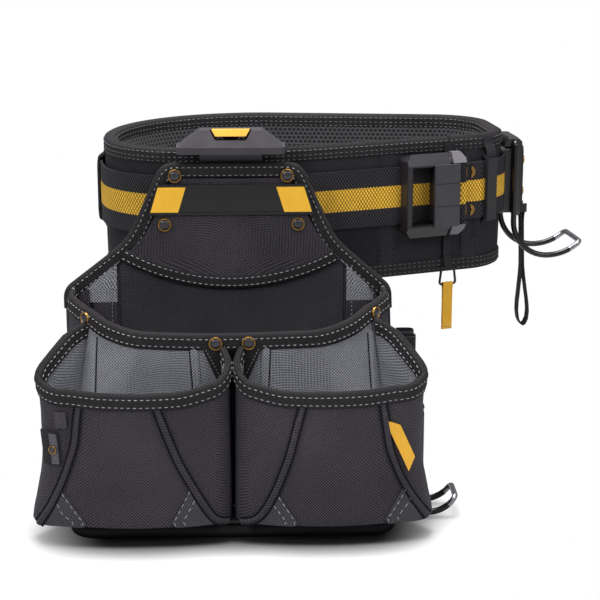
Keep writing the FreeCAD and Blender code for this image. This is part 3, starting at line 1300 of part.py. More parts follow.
# ---------------------------------------------------------------- the assembly
NODES = {
    "belt_pad": belt_pad,
    "pad_lining": pad_lining,
    "pad_binding_top": lambda: pad_binding(PAD_HIGH - BINDING_WIDE, PAD_HIGH),
    "pad_binding_bottom": lambda: pad_binding(PAD_LOW, PAD_LOW + BINDING_WIDE),
    "pad_end_patches": pad_end_patches,
    "webbing": webbing,
    "webbing_fold": webbing_fold,
    "anchor_eyelets": anchor_eyelets,
    "belt_keepers": belt_keepers,
    "left_keeper": left_keeper,
    "label_keeper": label_keeper,
    "keeper_label": keeper_label,
    "front_hub": lambda: hub(POUCH_STATION),
    "side_hub": lambda: hub(HOLDER_PLACE),
    "buckle_frame": buckle_frame,
    "buckle_cover": buckle_cover,
    "buckle_male": buckle_male,
    "buckle_arm_upper": lambda: buckle_arm(1),
    "buckle_arm_lower": lambda: buckle_arm(-1),
    "pull_strap": pull_strap,
    "pull_ring": pull_ring,
    "pull_tab": pull_tab,
    "holder_clip": holder_clip,
    "holder_panel": holder_panel,
    "holder_rivets": holder_rivets,
    "tether_anchor": tether_anchor,
    "tether_loop": tether_loop,
    "holder_hook": lambda: place(coated_hook(*HOLDER_HOOK), HOLDER_PLACE),
    "holder_hook_tip": lambda: place(bare_tip(*HOLDER_HOOK), HOLDER_PLACE),
    "back_panel": back_panel,
    "back_binding": back_binding,
    "back_lining": back_lining,
    "label_panel": label_panel,
    "label_hem": label_hem,
    "label_plate": label_plate,
    "label_inserts": label_inserts,
    "clip_body": clip_body,
    "clip_button": clip_button,
    "clip_latch": clip_latch,
    "button_springs": button_springs,
    "main_pocket": main_pocket,
    "main_lip_binding": main_lip_binding,
    "lower_pocket_left": lambda: lower_pocket(-1),
    "lower_pocket_right": lambda: lower_pocket(1),
    "lower_binding_left": lambda: lower_binding(-1),
    "lower_binding_right": lambda: lower_binding(1),
    "corner_patches": corner_patches,
    "piping": piping,
    "base_panel": base_panel,
    "pouch_rivets": pouch_rivets,
    "tape_tab": tape_tab,
    "side_label": side_label,
    "tool_loops": tool_loops,
    "hook_bracket": hook_bracket,
    "small_rivets": small_rivets,
    "pouch_hook": lambda: place(coated_hook(*POUCH_HOOK), POUCH_HOOK_PLACE),
    "pouch_hook_tip": lambda: place(bare_tip(*POUCH_HOOK), POUCH_HOOK_PLACE),
    "stand_wire": stand_wire,
    "stand_sleeve": stand_sleeve,
    "stand_hinges": stand_hinges,
}


POUCH_FIRST, POUCH_LAST = "back_panel", "stand_hinges"


def hang(shape):
    """Turns a pouch piece about its hub so that the pouch hangs square to the belt."""
    moved = shape.copy()
    moved.rotate(V(0, HUB_LINE_Y, 0), V(0, 0, 1), POUCH_STATION[1])
    moved.translate(POUCH_STATION[0] - V(0, HUB_LINE_Y, 0))
    return moved


def main():
    """Writes every piece, moved so that the waist's centre is the origin."""
    os.makedirs("parts", exist_ok=True)
    names = list(NODES)
    pouch = names[names.index(POUCH_FIRST):names.index(POUCH_LAST) + 1]
    for name, make in NODES.items():
        shape = make()
        if name in pouch:
            shape = hang(shape)
        shape.translate(WAIST_CENTRE * -1)
        shape.exportStep(f"parts/{name}.step")
        solids = shape.Solids
        box_ = shape.BoundBox
        state = "" if solids and all(s.isValid() for s in solids) else "  INVALID"
        print(f"{name:20s} {len(solids):2d} solids {shape.Volume / 1000:8.2f} cm3 "
              f"[{box_.XMin:.0f} {box_.YMin:.0f} {box_.ZMin:.0f}] [{box_.XMax:.0f} {box_.YMax:.0f} "
              f"{box_.ZMax:.0f}]{state}")


main()
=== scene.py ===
import json
import math

import bmesh
import bpy
from mathutils import Matrix, Vector, noise


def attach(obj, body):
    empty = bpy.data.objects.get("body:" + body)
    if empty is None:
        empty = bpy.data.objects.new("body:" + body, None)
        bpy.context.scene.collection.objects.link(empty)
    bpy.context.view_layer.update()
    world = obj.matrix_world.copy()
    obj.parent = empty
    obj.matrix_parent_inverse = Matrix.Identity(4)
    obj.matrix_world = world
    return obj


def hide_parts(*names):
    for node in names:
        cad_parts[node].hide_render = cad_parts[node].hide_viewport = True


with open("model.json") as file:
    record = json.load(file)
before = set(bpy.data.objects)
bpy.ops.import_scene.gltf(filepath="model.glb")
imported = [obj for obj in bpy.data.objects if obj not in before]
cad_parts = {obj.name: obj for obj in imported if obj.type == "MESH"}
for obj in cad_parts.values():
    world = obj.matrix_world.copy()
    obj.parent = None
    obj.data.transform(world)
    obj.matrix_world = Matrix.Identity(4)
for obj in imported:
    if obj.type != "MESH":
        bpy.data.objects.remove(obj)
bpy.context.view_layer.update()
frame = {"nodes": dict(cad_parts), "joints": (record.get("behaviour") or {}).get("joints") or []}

# ---------------------------------------------------------------------------------------------
# Camera, floor and lamps. The set is shown on a plain white table in a soft studio light: one
# large lamp above and in front, a weaker one on each side, and a bright surround.
MM = 0.001
FLOOR_Z = -0.250

bpy.ops.object.select_all(action="DESELECT")
bpy.ops.object.camera_add(location=(-0.002, -1.497, 0.2641), rotation=(math.radians(75.87), 0, 0))
camera = bpy.context.object
camera.data.lens = 99.2
camera.data.sensor_width = 36.0
camera.data.clip_end = 50.0
bpy.context.scene.camera = camera
bpy.context.scene.view_settings.view_transform = "Standard"


def colour(code):
    """An sRGB hex code as the linear colour that the shaders work in."""
    parts = [int(code[i:i + 2], 16) / 255 for i in (1, 3, 5)]
    return [c / 12.92 if c <= 0.04045 else ((c + 0.055) / 1.055) ** 2.4 for c in parts] + [1.0]


def add(tree, kind, inputs=None, **settings):
    """Adds one node, gives it its settings, and sets or links its inputs by name or number."""
    made = tree.nodes.new(kind)
    for name, value in settings.items():
        setattr(made, name, value)
    for socket, value in (inputs or {}).items():
        if isinstance(value, bpy.types.NodeSocket):
            tree.links.new(value, made.inputs[socket])
        else:
            made.inputs[socket].default_value = value
    return made


def empty_material(name):
    """A new material with nothing in it but its output."""
    made = bpy.data.materials.new(name)
    made.use_nodes = True
    made.node_tree.nodes.clear()
    return made, made.node_tree


# White laminate: flat and matt. Its colour holds a painted contact shadow, darkest where a piece stands
# close over it; it throws back only half of its light, and fades to the white of the backdrop away from the
# set.
TO_SHADOW = (0.05, 1.41, 0.0)
SHADOW_ENDS, BACKDROP_STARTS = 0.115, 0.24
PAINTED_SHADOW_REACH = 0.055
table, tree = empty_material("white_laminate_table")
ray = add(tree, "ShaderNodeLightPath")
place = add(tree, "ShaderNodeTexCoord")
centred = add(tree, "ShaderNodeVectorMath", {0: place.outputs["Object"], 1: TO_SHADOW}, operation="ADD")
away = add(tree, "ShaderNodeVectorMath", {0: centred.outputs[0]}, operation="LENGTH")
beyond = add(tree, "ShaderNodeMapRange", {0: away.outputs["Value"], 1: SHADOW_ENDS, 2: BACKDROP_STARTS,
                                          3: 0.0, 4: 1.0}, interpolation_type="SMOOTHSTEP")
# Ambient occlusion darkens the table's colour under and beside the pieces: a painted contact shadow.
open_to = add(tree, "ShaderNodeAmbientOcclusion", {"Distance": PAINTED_SHADOW_REACH})
painted_contact_shadow = add(tree, "ShaderNodeMapRange", {0: open_to.outputs["AO"], 1: 0.40, 2: 0.95, 3: 0.02, 4: 0.97})
dimmed = add(tree, "ShaderNodeMath", {0: ray.outputs["Is Camera Ray"], 1: 0.5, 2: 0.5},
             operation="MULTIPLY_ADD")
laid = add(tree, "ShaderNodeMath", {0: painted_contact_shadow.outputs[0], 1: dimmed.outputs[0]}, operation="MULTIPLY")
painted = add(tree, "ShaderNodeBsdfPrincipled", {"Base Color": laid.outputs[0], "Roughness": 0.8,
                                                 "Specular IOR Level": 0.1})
glow = add(tree, "ShaderNodeEmission", {"Color": colour("#ffffff"), "Strength": 1.0})
share = add(tree, "ShaderNodeMath", {0: ray.outputs["Is Camera Ray"], 1: beyond.outputs[0]},
            operation="MULTIPLY")
faded = add(tree, "ShaderNodeMixShader", {0: share.outputs[0], 1: painted.outputs[0], 2: glow.outputs[0]})
add(tree, "ShaderNodeOutputMaterial", {"Surface": faded.outputs[0]})

bpy.ops.mesh.primitive_plane_add(size=9.0, location=(0, 1.2, FLOOR_Z))
floor = bpy.context.object
floor.name = "table_top"
floor.data.materials.append(table)

world = bpy.data.worlds.new("studio")
world.use_nodes = True
bpy.context.scene.world = world
tree = world.node_tree
tree.nodes.clear()
ray = add(tree, "ShaderNodeLightPath")
seen = add(tree, "ShaderNodeMath", {0: ray.outputs["Is Camera Ray"], 1: ray.outputs["Is Transmission Ray"]},
           operation="MAXIMUM")
facing_up = add(tree, "ShaderNodeTexCoord")
rise = add(tree, "ShaderNodeSeparateXYZ", {0: facing_up.outputs["Generated"]})
level = add(tree, "ShaderNodeMapRange", {0: rise.outputs[2], 1: 0.0, 2: 0.75, 3: 0.09, 4: 0.62})
surround = add(tree, "ShaderNodeBackground", {"Color": colour("#f3f4f8"), "Strength": level.outputs[0]})
backdrop = add(tree, "ShaderNodeBackground", {"Color": colour("#ffffff"), "Strength": 1.0})
both = add(tree, "ShaderNodeMixShader", {0: seen.outputs[0], 1: surround.outputs[0], 2: backdrop.outputs[0]})
add(tree, "ShaderNodeOutputWorld", {"Surface": both.outputs[0]})


def softbox(name, place, aim, size, watts):
    """A square studio lamp that looks at a point."""
    bpy.ops.object.light_add(type="AREA", location=place)
    lamp = bpy.context.object
    lamp.name = name
    lamp.data.size = size
    lamp.data.energy = watts
    lamp.rotation_euler = (Vector(aim) - Vector(place)).to_track_quat("-Z", "Y").to_euler()
    return lamp


softbox("overhead_lamp", (-0.1, 0.0, 1.5), (0, -0.1, -0.05), 1.0, 42)
softbox("left_lamp", (-1.2, -1.5, 1.2), (0, 0, -0.05), 0.9, 16)
softbox("right_lamp", (1.3, -1.4, 1.2), (0, 0, -0.05), 0.9, 12)

# ---------------------------------------------------------------------------------------------
# Belt pad. A foam pad 9 mm thick in a black polyester cover, bent round the waist; its two ends
# meet behind the buckle. It is cut and sewn flat, and the foam crowns both of its faces.
WAIST = Vector((57.0, 137.0, 250.0))
BELT_CORNERS = [(-98.0, 16.5), (39.1, 21.4), (242.2, 110.0), (226.6, 230.7), (-165.0, 263.6)]
BELT_RADII = [70.0, 160.0, 50.0, 54.0, 137.0]
PAD_LOW, PAD_HIGH = 177.0, 298.0
PULL_X = 21.4
RING_Y, RING_Z = -3.6, 181.1


def joint(name):
    """A joint of the frame, by its name."""
    return next(j for j in frame["joints"] if j["name"] == name)


def station(name, way, local):
    """The frame of a piece's place on the belt, in mm, from a joint whose local place is known."""
    at, axis = Vector(joint(name)["pos_m"]), Vector(joint(name)["axis"]) * way
    turn = Matrix.Rotation(math.atan2(axis.y, axis.x), 4, "Z")
    return Matrix.Translation(at) @ turn @ Matrix.Scale(MM, 4) @ Matrix.Translation(-Vector(local))


BUCKLE = station("pull_ring_swing", -1, (PULL_X, RING_Y, RING_Z))
HOLDER = station("hammer_hook_fold", -1, (0.0, -13.0, 284.9))
POUCH = station("stand_fold", 1, (0.0, 6.0, 5.5))


def arc(start, middle, end, count):
    """Points on the arc through three points of a plane, both ends counted."""
    (ax, ay), (bx, by), (cx, cy) = start, middle, end
    d = 2 * (ax * (by - cy) + bx * (cy - ay) + cx * (ay - by))
    a, b, c = ax * ax + ay * ay, bx * bx + by * by, cx * cx + cy * cy
    ux = (a * (by - cy) + b * (cy - ay) + c * (ay - by)) / d
    uy = (a * (cx - bx) + b * (ax - cx) + c * (bx - ax)) / d
    radius = math.hypot(ax - ux, ay - uy)
    first, last = math.atan2(ay - uy, ax - ux), math.atan2(cy - uy, cx - ux)
    through = math.atan2(by - uy, bx - ux)
    span = (last - first) % (2 * math.pi)
    if (through - first) % (2 * math.pi) > span:
        span -= 2 * math.pi
    return [(ux + radius * math.cos(first + span * i / (count - 1)),
             uy + radius * math.sin(first + span * i / (count - 1))) for i in range(count)]


def line(start, end, count):
    """Evenly spaced points on a straight line, both ends counted."""
    return [tuple(a + (b - a) * i / (count - 1) for a, b in zip(start, end)) for i in range(count)]


def rounded(corners, radii, step):
    """A closed outline with each corner rounded to its own radius, as points about a step apart."""
    starts, mids, ends = [], [], []
    for i, corner in enumerate(corners):
        here = Vector(corner)
        before = (Vector(corners[i - 1]) - here).normalized()
        after = (Vector(corners[(i + 1) % len(corners)]) - here).normalized()
        half = before.angle(after) / 2
        centre = here + (before + after).normalized() * (radii[i] / math.sin(half))
        starts.append(here + before * (radii[i] / math.tan(half)))
        mids.append(centre + (here - centre).normalized() * radii[i])
        ends.append(here + after * (radii[i] / math.tan(half)))
    points = []
    for i in range(len(corners)):
        long = (mids[i] - starts[i]).length + (ends[i] - mids[i]).length
        points += arc(starts[i], mids[i], ends[i], max(4, int(long / step) + 2))[:-1]
        following = starts[(i + 1) % len(corners)]
        points += line(ends[i], following, max(2, int((following - ends[i]).length / step) + 2))[:-1]
    return [Vector(p) for p in points]


belt_plan = rounded(BELT_CORNERS, BELT_RADII, 2.0)
belt_reach = [0.0]
for a, b in zip(belt_plan, belt_plan[1:] + belt_plan[:1]):
    belt_reach.append(belt_reach[-1] + (b - a).length)
BELT_LONG = belt_reach[-1]


def belt_at(reach):
    """The point of the pad's outer face at a distance round the belt, and the outward way there."""
    reach = reach % BELT_LONG
    low, high = 0, len(belt_plan)
    while high - low > 1:
        middle = (low + high) // 2
        low, high = (middle, high) if belt_reach[middle] <= reach else (low, middle)
    a, b = belt_plan[low], belt_plan[(low + 1) % len(belt_plan)]
    portion = (reach - belt_reach[low]) / (belt_reach[low + 1] - belt_reach[low])
    before = (belt_plan[low] - belt_plan[low - 1]).normalized()
    after = (belt_plan[(low + 2) % len(belt_plan)] - b).normalized()
    here = (b - a).normalized()
    way = ((before + here) * (1 - portion) + (here + after) * portion).normalized()
    return a.lerp(b, portion), Vector((way.y, -way.x))


def belt_point(reach, offset, z):
    """A point of the belt in metres, offset mm off the pad's outer face at a height."""
    point, out = belt_at(reach)
    return (Vector((point.x + out.x * offset, point.y + out.y * offset, z)) - WAIST) * MM


def nearest_reach(spot):
    """How far round the belt the point of its plan lies that is nearest to a spot."""
    return min(((p - spot).length, r) for p, r in zip(belt_plan, belt_reach))[1]


def reach_of(place, x):
    """How far round the belt a place lies that is x mm along a station's frame."""
    return nearest_reach((place @ Vector((x, 0, WAIST.z)) / MM + WAIST).xy)


SLIT = reach_of(BUCKLE, PULL_X)


def belt_span(start, end, step=4.0):
    """Evenly spaced distances round the belt from start to end, the long way if need be."""
    long = (end - start) % BELT_LONG or BELT_LONG
    count = max(2, int(long / step) + 1)
    return [start + long * i / (count - 1) for i in range(count)]


def mesh_object(name, points, faces, uvs=None):
    """An object at the origin from points in metres, with its own UV map where one is given."""
    mesh = bpy.data.meshes.new(name)
    mesh.from_pydata(points, [], faces)
    if uvs:
        layer = mesh.uv_layers.new(name="cloth")
        for loop in mesh.loops:
            layer.data[loop.index].uv = uvs[loop.vertex_index]
    made = bpy.data.objects.new(name, mesh)
    bpy.context.scene.collection.objects.link(made)
    return made


def tidy_mesh(piece, weld=0.00002, angle=50):
    """Welds doubled points, turns all faces outwards and shades the piece smooth."""
    work = bmesh.new()
    work.from_mesh(piece.data)
    bmesh.ops.remove_doubles(work, verts=work.verts, dist=weld)
    bmesh.ops.recalc_face_normals(work, faces=work.faces)
    work.to_mesh(piece.data)
    work.free()
    bpy.ops.object.select_all(action="DESELECT")
    piece.select_set(True)
    bpy.context.view_layer.objects.active = piece
    bpy.ops.object.shade_smooth_by_angle(angle=math.radians(angle))


def settle(piece, body, nodes=(), material=None):
    """Says what a piece moves with and stands for, and gives its material."""
    if material:
        piece.data.materials.clear()
        piece.data.materials.append(material)
    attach(piece, body)
    if nodes:
        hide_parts(*nodes)
    return piece


def cloth_uvs(rows):
    """Real distances in metres along the rows, from each row's middle, and up the columns."""
    uvs, height = [], [0.0] * len(rows[0])
    for i, row in enumerate(rows):
        run = [0.0]
        for a, b in zip(row, row[1:]):
            run.append(run[-1] + (b - a).length)
        if i:
            height = [h + (b - a).length for h, a, b in zip(height, rows[i - 1], row)]
        uvs += [(r - run[-1] / 2, h) for r, h in zip(run, height)]
    return uvs


def apply(piece, kind, **settings):
    """Adds a modifier to a piece and applies it."""
    bpy.ops.object.select_all(action="DESELECT")
    piece.select_set(True)
    bpy.context.view_layer.objects.active = piece
    made = piece.modifiers.new(kind.lower(), kind)
    for name, value in settings.items():
        setattr(made, name, value)
    bpy.ops.object.modifier_apply(modifier=made.name)


def cloth(name, rows, thick, body, material, nodes=()):
    """A sewn sheet of cloth from rows of points at the middle of its thickness, in metres.
    """
    wide = len(rows[0])
    points = [p for row in rows for p in row]
    faces = [(i * wide + j, i * wide + j + 1, (i + 1) * wide + j + 1, (i + 1) * wide + j)
             for i in range(len(rows) - 1) for j in range(wide - 1)]
    made = mesh_object(name, points, faces, cloth_uvs(rows))
    apply(made, "SOLIDIFY", thickness=thick * MM, offset=0.0, use_even_offset=False)
    tidy_mesh(made)
    settle(made, body, nodes, material)
    return made


def woven(name, dark, light, thread, turn=45, rough=0.82, lift=0.35, blotch=0.25):
    """A plain weave read from the cloth's own UV map: threads pass over and under by turns.

    thread is the spacing in mm, drawn coarser than the real one so that it shows; dark and light
    are the colours between and on top of the threads, and blotch is how far wear changes them.
    """
    made, tree = empty_material(name)
    uv = add(tree, "ShaderNodeUVMap", uv_map="cloth")
    mapped = add(tree, "ShaderNodeMapping", {"Vector": uv.outputs[0], "Rotation": (0, 0, math.radians(turn)),
                                             "Scale": (1000 / thread, 1000 / thread, 1)})
    split = add(tree, "ShaderNodeSeparateXYZ", {0: mapped.outputs[0]})
    ridges = []
    for axis in (0, 1):
        phase = add(tree, "ShaderNodeMath", {0: split.outputs[axis], 1: math.pi}, operation="MULTIPLY")
        wave = add(tree, "ShaderNodeMath", {0: phase.outputs[0]}, operation="SINE")
        ridges.append(add(tree, "ShaderNodeMath", {0: wave.outputs[0]}, operation="ABSOLUTE"))
    over = add(tree, "ShaderNodeTexChecker", {"Vector": mapped.outputs[0], "Scale": 1.0})
    height = add(tree, "ShaderNodeMix", {0: over.outputs["Fac"], 2: ridges[0].outputs[0],
                                         3: ridges[1].outputs[0]})
    place = add(tree, "ShaderNodeTexCoord")
    fibre = add(tree, "ShaderNodeTexNoise", {"Vector": place.outputs["Object"], "Scale": 900.0,
                                             "Detail": 2.0})
    worn = add(tree, "ShaderNodeTexNoise", {"Vector": place.outputs["Object"], "Scale": 14.0, "Detail": 4.0})
    crest = add(tree, "ShaderNodeMath", {0: height.outputs[0], 1: 2.0}, operation="POWER")
    top = add(tree, "ShaderNodeMath", {0: crest.outputs[0], 1: 1.3}, operation="MULTIPLY", use_clamp=True)
    speck = add(tree, "ShaderNodeMath", {0: fibre.outputs[0], 1: 0.5, 2: 0.25}, operation="MULTIPLY_ADD")
    mixed = add(tree, "ShaderNodeMath", {0: top.outputs[0], 1: speck.outputs[0]}, operation="MULTIPLY")
    lifted = add(tree, "ShaderNodeMath", {0: mixed.outputs[0], 1: 1.9}, operation="MULTIPLY", use_clamp=True)
    tint = add(tree, "ShaderNodeMix", {0: lifted.outputs[0], 6: colour(dark), 7: colour(light)},
               data_type="RGBA")
    shade = add(tree, "ShaderNodeMapRange", {0: worn.outputs[0], 1: 0.3, 2: 0.7, 3: 1 - blotch,
                                             4: 1 + blotch})
    final = add(tree, "ShaderNodeVectorMath", {0: tint.outputs[2], 1: shade.outputs[0]},
                operation="MULTIPLY")
    bump = add(tree, "ShaderNodeBump", {"Height": height.outputs[0], "Strength": lift,
                                        "Distance": 0.3 * thread * MM})
    shader = add(tree, "ShaderNodeBsdfPrincipled", {"Base Color": final.outputs[0], "Roughness": rough,
                                                    "Normal": bump.outputs[0],
                                                    "Specular IOR Level": 0.15})
    add(tree, "ShaderNodeOutputMaterial", {"Surface": shader.outputs[0]})
    return made


# 600-denier polyester: dull, nearly black, with a 0.5 mm weave that is drawn at 1.3 mm.
pad_cover = woven("polyester_600d_cover", "#131215", "#343337", 1.3)

FOAM_MIDDLE = -4.5
FACE_LOW, FACE_LONG = 184.0, 107.0
pad_profile = []
for i in range(23):
    rise = i / 22
    pad_profile.append((-0.5 + 1.1 * math.sin(math.pi * rise) ** 0.5, FACE_LOW + FACE_LONG * rise))
pad_profile += [(FOAM_MIDDLE + 4.0 * math.cos(math.radians(a)), 291.6 + 4.2 * math.sin(math.radians(a)))
                for a in (25, 50, 75, 105, 130, 155)]
for i in range(23):
    rise = 1 - i / 22
    pad_profile.append((-8.5 - 0.4 * math.sin(math.pi * rise) ** 0.5, FACE_LOW + FACE_LONG * rise))
pad_profile += [(FOAM_MIDDLE + 4.0 * math.cos(math.radians(a)), 183.4 + 4.2 * math.sin(math.radians(a)))
                for a in (205, 230, 255, 285, 310, 335)]

stations = belt_span(SLIT + 0.8, SLIT - 0.8)
points, faces, uvs = [], [], []
count = len(pad_profile)
for j, reach in enumerate(stations):
    edge = min(j, len(stations) - 1 - j)
    squeeze = (0.62, 0.9)[edge] if edge < 2 else 1.0
    drawn_in = 1 - (1 - squeeze) * 0.04
    for offset, z in pad_profile:
        points.append(belt_point(reach, FOAM_MIDDLE + (offset - FOAM_MIDDLE) * squeeze,
                                 239 + (z - 239) * drawn_in))
        uvs.append((reach * MM, z * MM))
for j in range(len(stations) - 1):
    for i in range(count):
        k = (i + 1) % count
        faces.append((j * count + i, j * count + k, (j + 1) * count + k, (j + 1) * count + i))
faces.append(tuple(range(count)))
faces.append(tuple(range((len(stations) - 1) * count, len(stations) * count)))
pad = mesh_object("belt_pad_cushion", points, faces, uvs)
tidy_mesh(pad)
MOST_SWELL = 0.0009
rest = [v.co.copy() for v in pad.data.vertices]
pinned = pad.vertex_groups.new(name="sewn")
edges = [v.index for v in pad.data.vertices if not 190 <= v.co.z / MM + WAIST.z <= 285]
pinned.add(edges, 1.0, "REPLACE")
bpy.context.view_layer.objects.active = pad
fill = pad.modifiers.new("fill", "CLOTH")
fill.settings.use_pressure = True
fill.settings.uniform_pressure_force = 2.5
fill.settings.effector_weights.gravity = 0.0
fill.settings.vertex_group_mass = "sewn"
fill.settings.tension_stiffness = 30.0
fill.settings.compression_stiffness = 30.0
fill.settings.bending_stiffness = 4.0
fill.point_cache.frame_start = 1
fill.point_cache.frame_end = 12
for step in range(1, 13):
    bpy.context.scene.frame_set(step)
bpy.ops.object.select_all(action="DESELECT")
pad.select_set(True)
bpy.ops.object.modifier_apply(modifier="fill")
for vertex, before in zip(pad.data.vertices, rest):
    moved = vertex.co - before
    if moved.length > MOST_SWELL:
        vertex.co = before + moved.normalized() * MOST_SWELL
pad.vertex_groups.clear()
settle(pad, "belt", ["belt_pad"], pad_cover)

# ---------------------------------------------------------------------------------------------
# Stitching. Bonded polyester thread in light grey, sewn on a walking-foot machine in stitches of
# about 3 mm; every row of it lies on top of the tape or cloth that it holds.
# The bond leaves a faint gleam on the twisted thread.
thread, tree = empty_material("bonded_polyester_thread")
place = add(tree, "ShaderNodeTexCoord")
twist = add(tree, "ShaderNodeTexNoise", {"Vector": place.outputs["Object"], "Scale": 1400.0, "Detail": 1.0})
tint = add(tree, "ShaderNodeMix", {0: twist.outputs[0], 6: colour("#5e5d62"), 7: colour("#b4b5b8")},
           data_type="RGBA")
shader = add(tree, "ShaderNodeBsdfPrincipled", {"Base Color": tint.outputs[2], "Roughness": 0.55,
                                                "Sheen Weight": 0.2})
add(tree, "ShaderNodeOutputMaterial", {"Surface": shader.outputs[0]})
# On the belt the thread is rubbed grey and stands out less.
dull_thread = thread.copy()
dull_thread.name = "weathered_polyester_thread"
tint = next(n for n in dull_thread.node_tree.nodes if n.type == "MIX")
tint.inputs[6].default_value, tint.inputs[7].default_value = colour("#2f2e32"), colour("#77767b")
# Black thread without a gleam, which is lost in black tape.
seam_thread = thread.copy()
seam_thread.name = "black_polyester_thread"
tint = next(n for n in seam_thread.node_tree.nodes if n.type == "MIX")
tint.inputs[6].default_value, tint.inputs[7].default_value = colour("#040405"), colour("#0c0b0d")
shader = next(n for n in seam_thread.node_tree.nodes if n.type == "BSDF_PRINCIPLED")
shader.inputs["Sheen Weight"].default_value = shader.inputs["Specular IOR Level"].default_value = 0.0


STITCH_MARKS = (0.10, 0.5, 0.72)


def sew(name, runs, body, long=3.5, gap=1.3, wide=0.72, high=0.4, yarn=thread):
    """Rows of stitches as one piece. A run is a list of points and one of the ways out of the cloth.

    The marks are where in its pitch a stitch comes up, lies highest and goes down again.
    """
    points, faces = [], []
    for path, outs in runs:
        reach = [0.0]
        for a, b in zip(path, path[1:]):
            reach.append(reach[-1] + (b - a).length)
        count = int((reach[-1] / MM - gap) / (long + gap))
        if count < 1:
            continue
        pitch = reach[-1] / count
        index = 0
        for n in range(count):
            marks = []
            for portion in STITCH_MARKS:
                here = (n + portion) * pitch
                while index < len(path) - 2 and reach[index + 1] < here:
                    index += 1
                t = (here - reach[index]) / max(reach[index + 1] - reach[index], 1e-9)
                marks.append((path[index].lerp(path[index + 1], t), outs[index]))
            (start, _), (_, up), (end, _) = marks
            along = end - start
            side = along.cross(up).normalized() * (wide * MM / 2)
            rise = up * (high * MM)
            base = len(points)
            points.append(start - rise * 0.4)
            for portion in (0.22, 0.78):
                middle = start + along * portion
                points += [middle + side, middle + rise, middle - side, middle - rise]
            points.append(end - rise * 0.4)
            for k in range(4):
                m = (k + 1) % 4
                faces += [(base, base + 1 + m, base + 1 + k),
                          (base + 1 + k, base + 1 + m, base + 5 + m, base + 5 + k),
                          (base + 9, base + 5 + k, base + 5 + m)]
    made = mesh_object(name, points, faces)
    tidy_mesh(made, weld=0.0, angle=60)
    return settle(made, body, (), yarn)


# ---------------------------------------------------------------------------------------------
# Pad bindings. Woven nylon tape folded over the pad's upper and lower edges and sewn through
# with three rows; it puffs a little between its rows.
# Grosgrain: nylon ribs that stand up and glint a little over black.
tape_weave = woven("grosgrain_nylon_tape", "#0b0a0b", "#383537", 1.6, rough=0.7, blotch=0.18, lift=0.9)
TAPE_SECTION = [(0.45, -12.0), (0.85, -11.2), (0.95, -8.4), (0.85, -6.6), (0.95, -4.6), (0.7, -2.6),
                (0.1, -1.0), (-1.6, -0.1), (-4.5, 0.3), (-7.4, -0.1), (-9.1, -1.0), (-9.8, -2.6),
                (-10.0, -4.6), (-9.9, -6.6), (-10.0, -8.4), (-9.95, -11.2), (-9.5, -12.0)]
TAPE_ROWS = [(1.3, -2.9), (1.25, -7.0), (1.2, -10.4), (-10.3, -2.9), (-10.3, -7.0), (-10.3, -10.4)]
round_the_belt = belt_span(SLIT + 0.5, SLIT - 0.5)
for name, edge, way in (("top", PAD_HIGH, 1), ("bottom", PAD_LOW, -1)):
    rows = [[belt_point(r, offset, edge + way * z) for r in round_the_belt] for offset, z in TAPE_SECTION]
    cloth(f"pad_{name}_tape", rows, 0.7, "belt", tape_weave, [f"pad_binding_{name}"])
    runs = []
    for offset, z in TAPE_ROWS:
        outs = [Vector((*belt_at(r)[1], 0)) * (1 if offset > 0 else -1) for r in round_the_belt]
        runs.append(([belt_point(r, offset, edge + way * z) for r in round_the_belt], outs))
    sew(f"pad_{name}_stitches", runs, "belt", wide=0.6, yarn=dull_thread)

# ---------------------------------------------------------------------------------------------
# Pad lining. Air mesh on the wearer's side: a knitted spacer fabric with holes of about 3 mm in
# a honeycomb, in charcoal; the foam shows dark through the holes, and the knit is soft and dull.
HOLE_PITCH = 4.4
COMB = 1.732
PAST_THE_END = 200
mesh_knit, tree = empty_material("knitted_air_mesh")
uv = add(tree, "ShaderNodeUVMap", uv_map="cloth")
scaled = add(tree, "ShaderNodeMapping", {"Vector": uv.outputs[0],
                                         "Scale": (1000 / HOLE_PITCH, 1000 / HOLE_PITCH, 1)})
holes = []
for shift in (PAST_THE_END, PAST_THE_END + 0.5):
    moved = add(tree, "ShaderNodeVectorMath", {0: scaled.outputs[0], 1: (shift, shift * COMB, 0)},
                operation="ADD")
    cell = add(tree, "ShaderNodeVectorMath", {0: moved.outputs[0], 1: (1.0, COMB, 1.0)},
               operation="MODULO")
    centred = add(tree, "ShaderNodeVectorMath", {0: cell.outputs[0], 1: (0.5, COMB / 2, 0.0)},
                  operation="SUBTRACT")
    flat = add(tree, "ShaderNodeVectorMath", {0: centred.outputs[0], 1: (1, 1, 0)}, operation="MULTIPLY")
    holes.append(add(tree, "ShaderNodeVectorMath", {0: flat.outputs[0]}, operation="LENGTH").outputs["Value"])
nearest = add(tree, "ShaderNodeMath", {0: holes[0], 1: holes[1]}, operation="MINIMUM")
knit = add(tree, "ShaderNodeMapRange", {0: nearest.outputs[0], 1: 0.27, 2: 0.42, 3: 0.0, 4: 1.0})
place = add(tree, "ShaderNodeTexCoord")
loops = add(tree, "ShaderNodeTexNoise", {"Vector": place.outputs["Object"], "Scale": 1100.0, "Detail": 2.0})
tone = add(tree, "ShaderNodeMix", {0: loops.outputs[0], 6: colour("#2a292c"), 7: colour("#5a585d")},
           data_type="RGBA")
tint = add(tree, "ShaderNodeMix", {0: knit.outputs[0], 6: colour("#0b0a0c"), 7: tone.outputs[2]},
           data_type="RGBA")
bump = add(tree, "ShaderNodeBump", {"Height": knit.outputs[0], "Strength": 0.8, "Distance": 0.0009})
shader = add(tree, "ShaderNodeBsdfPrincipled", {"Base Color": tint.outputs[2], "Roughness": 0.85,
                                                "Normal": bump.outputs[0], "Sheen Weight": 0.15})
add(tree, "ShaderNodeOutputMaterial", {"Surface": shader.outputs[0]})

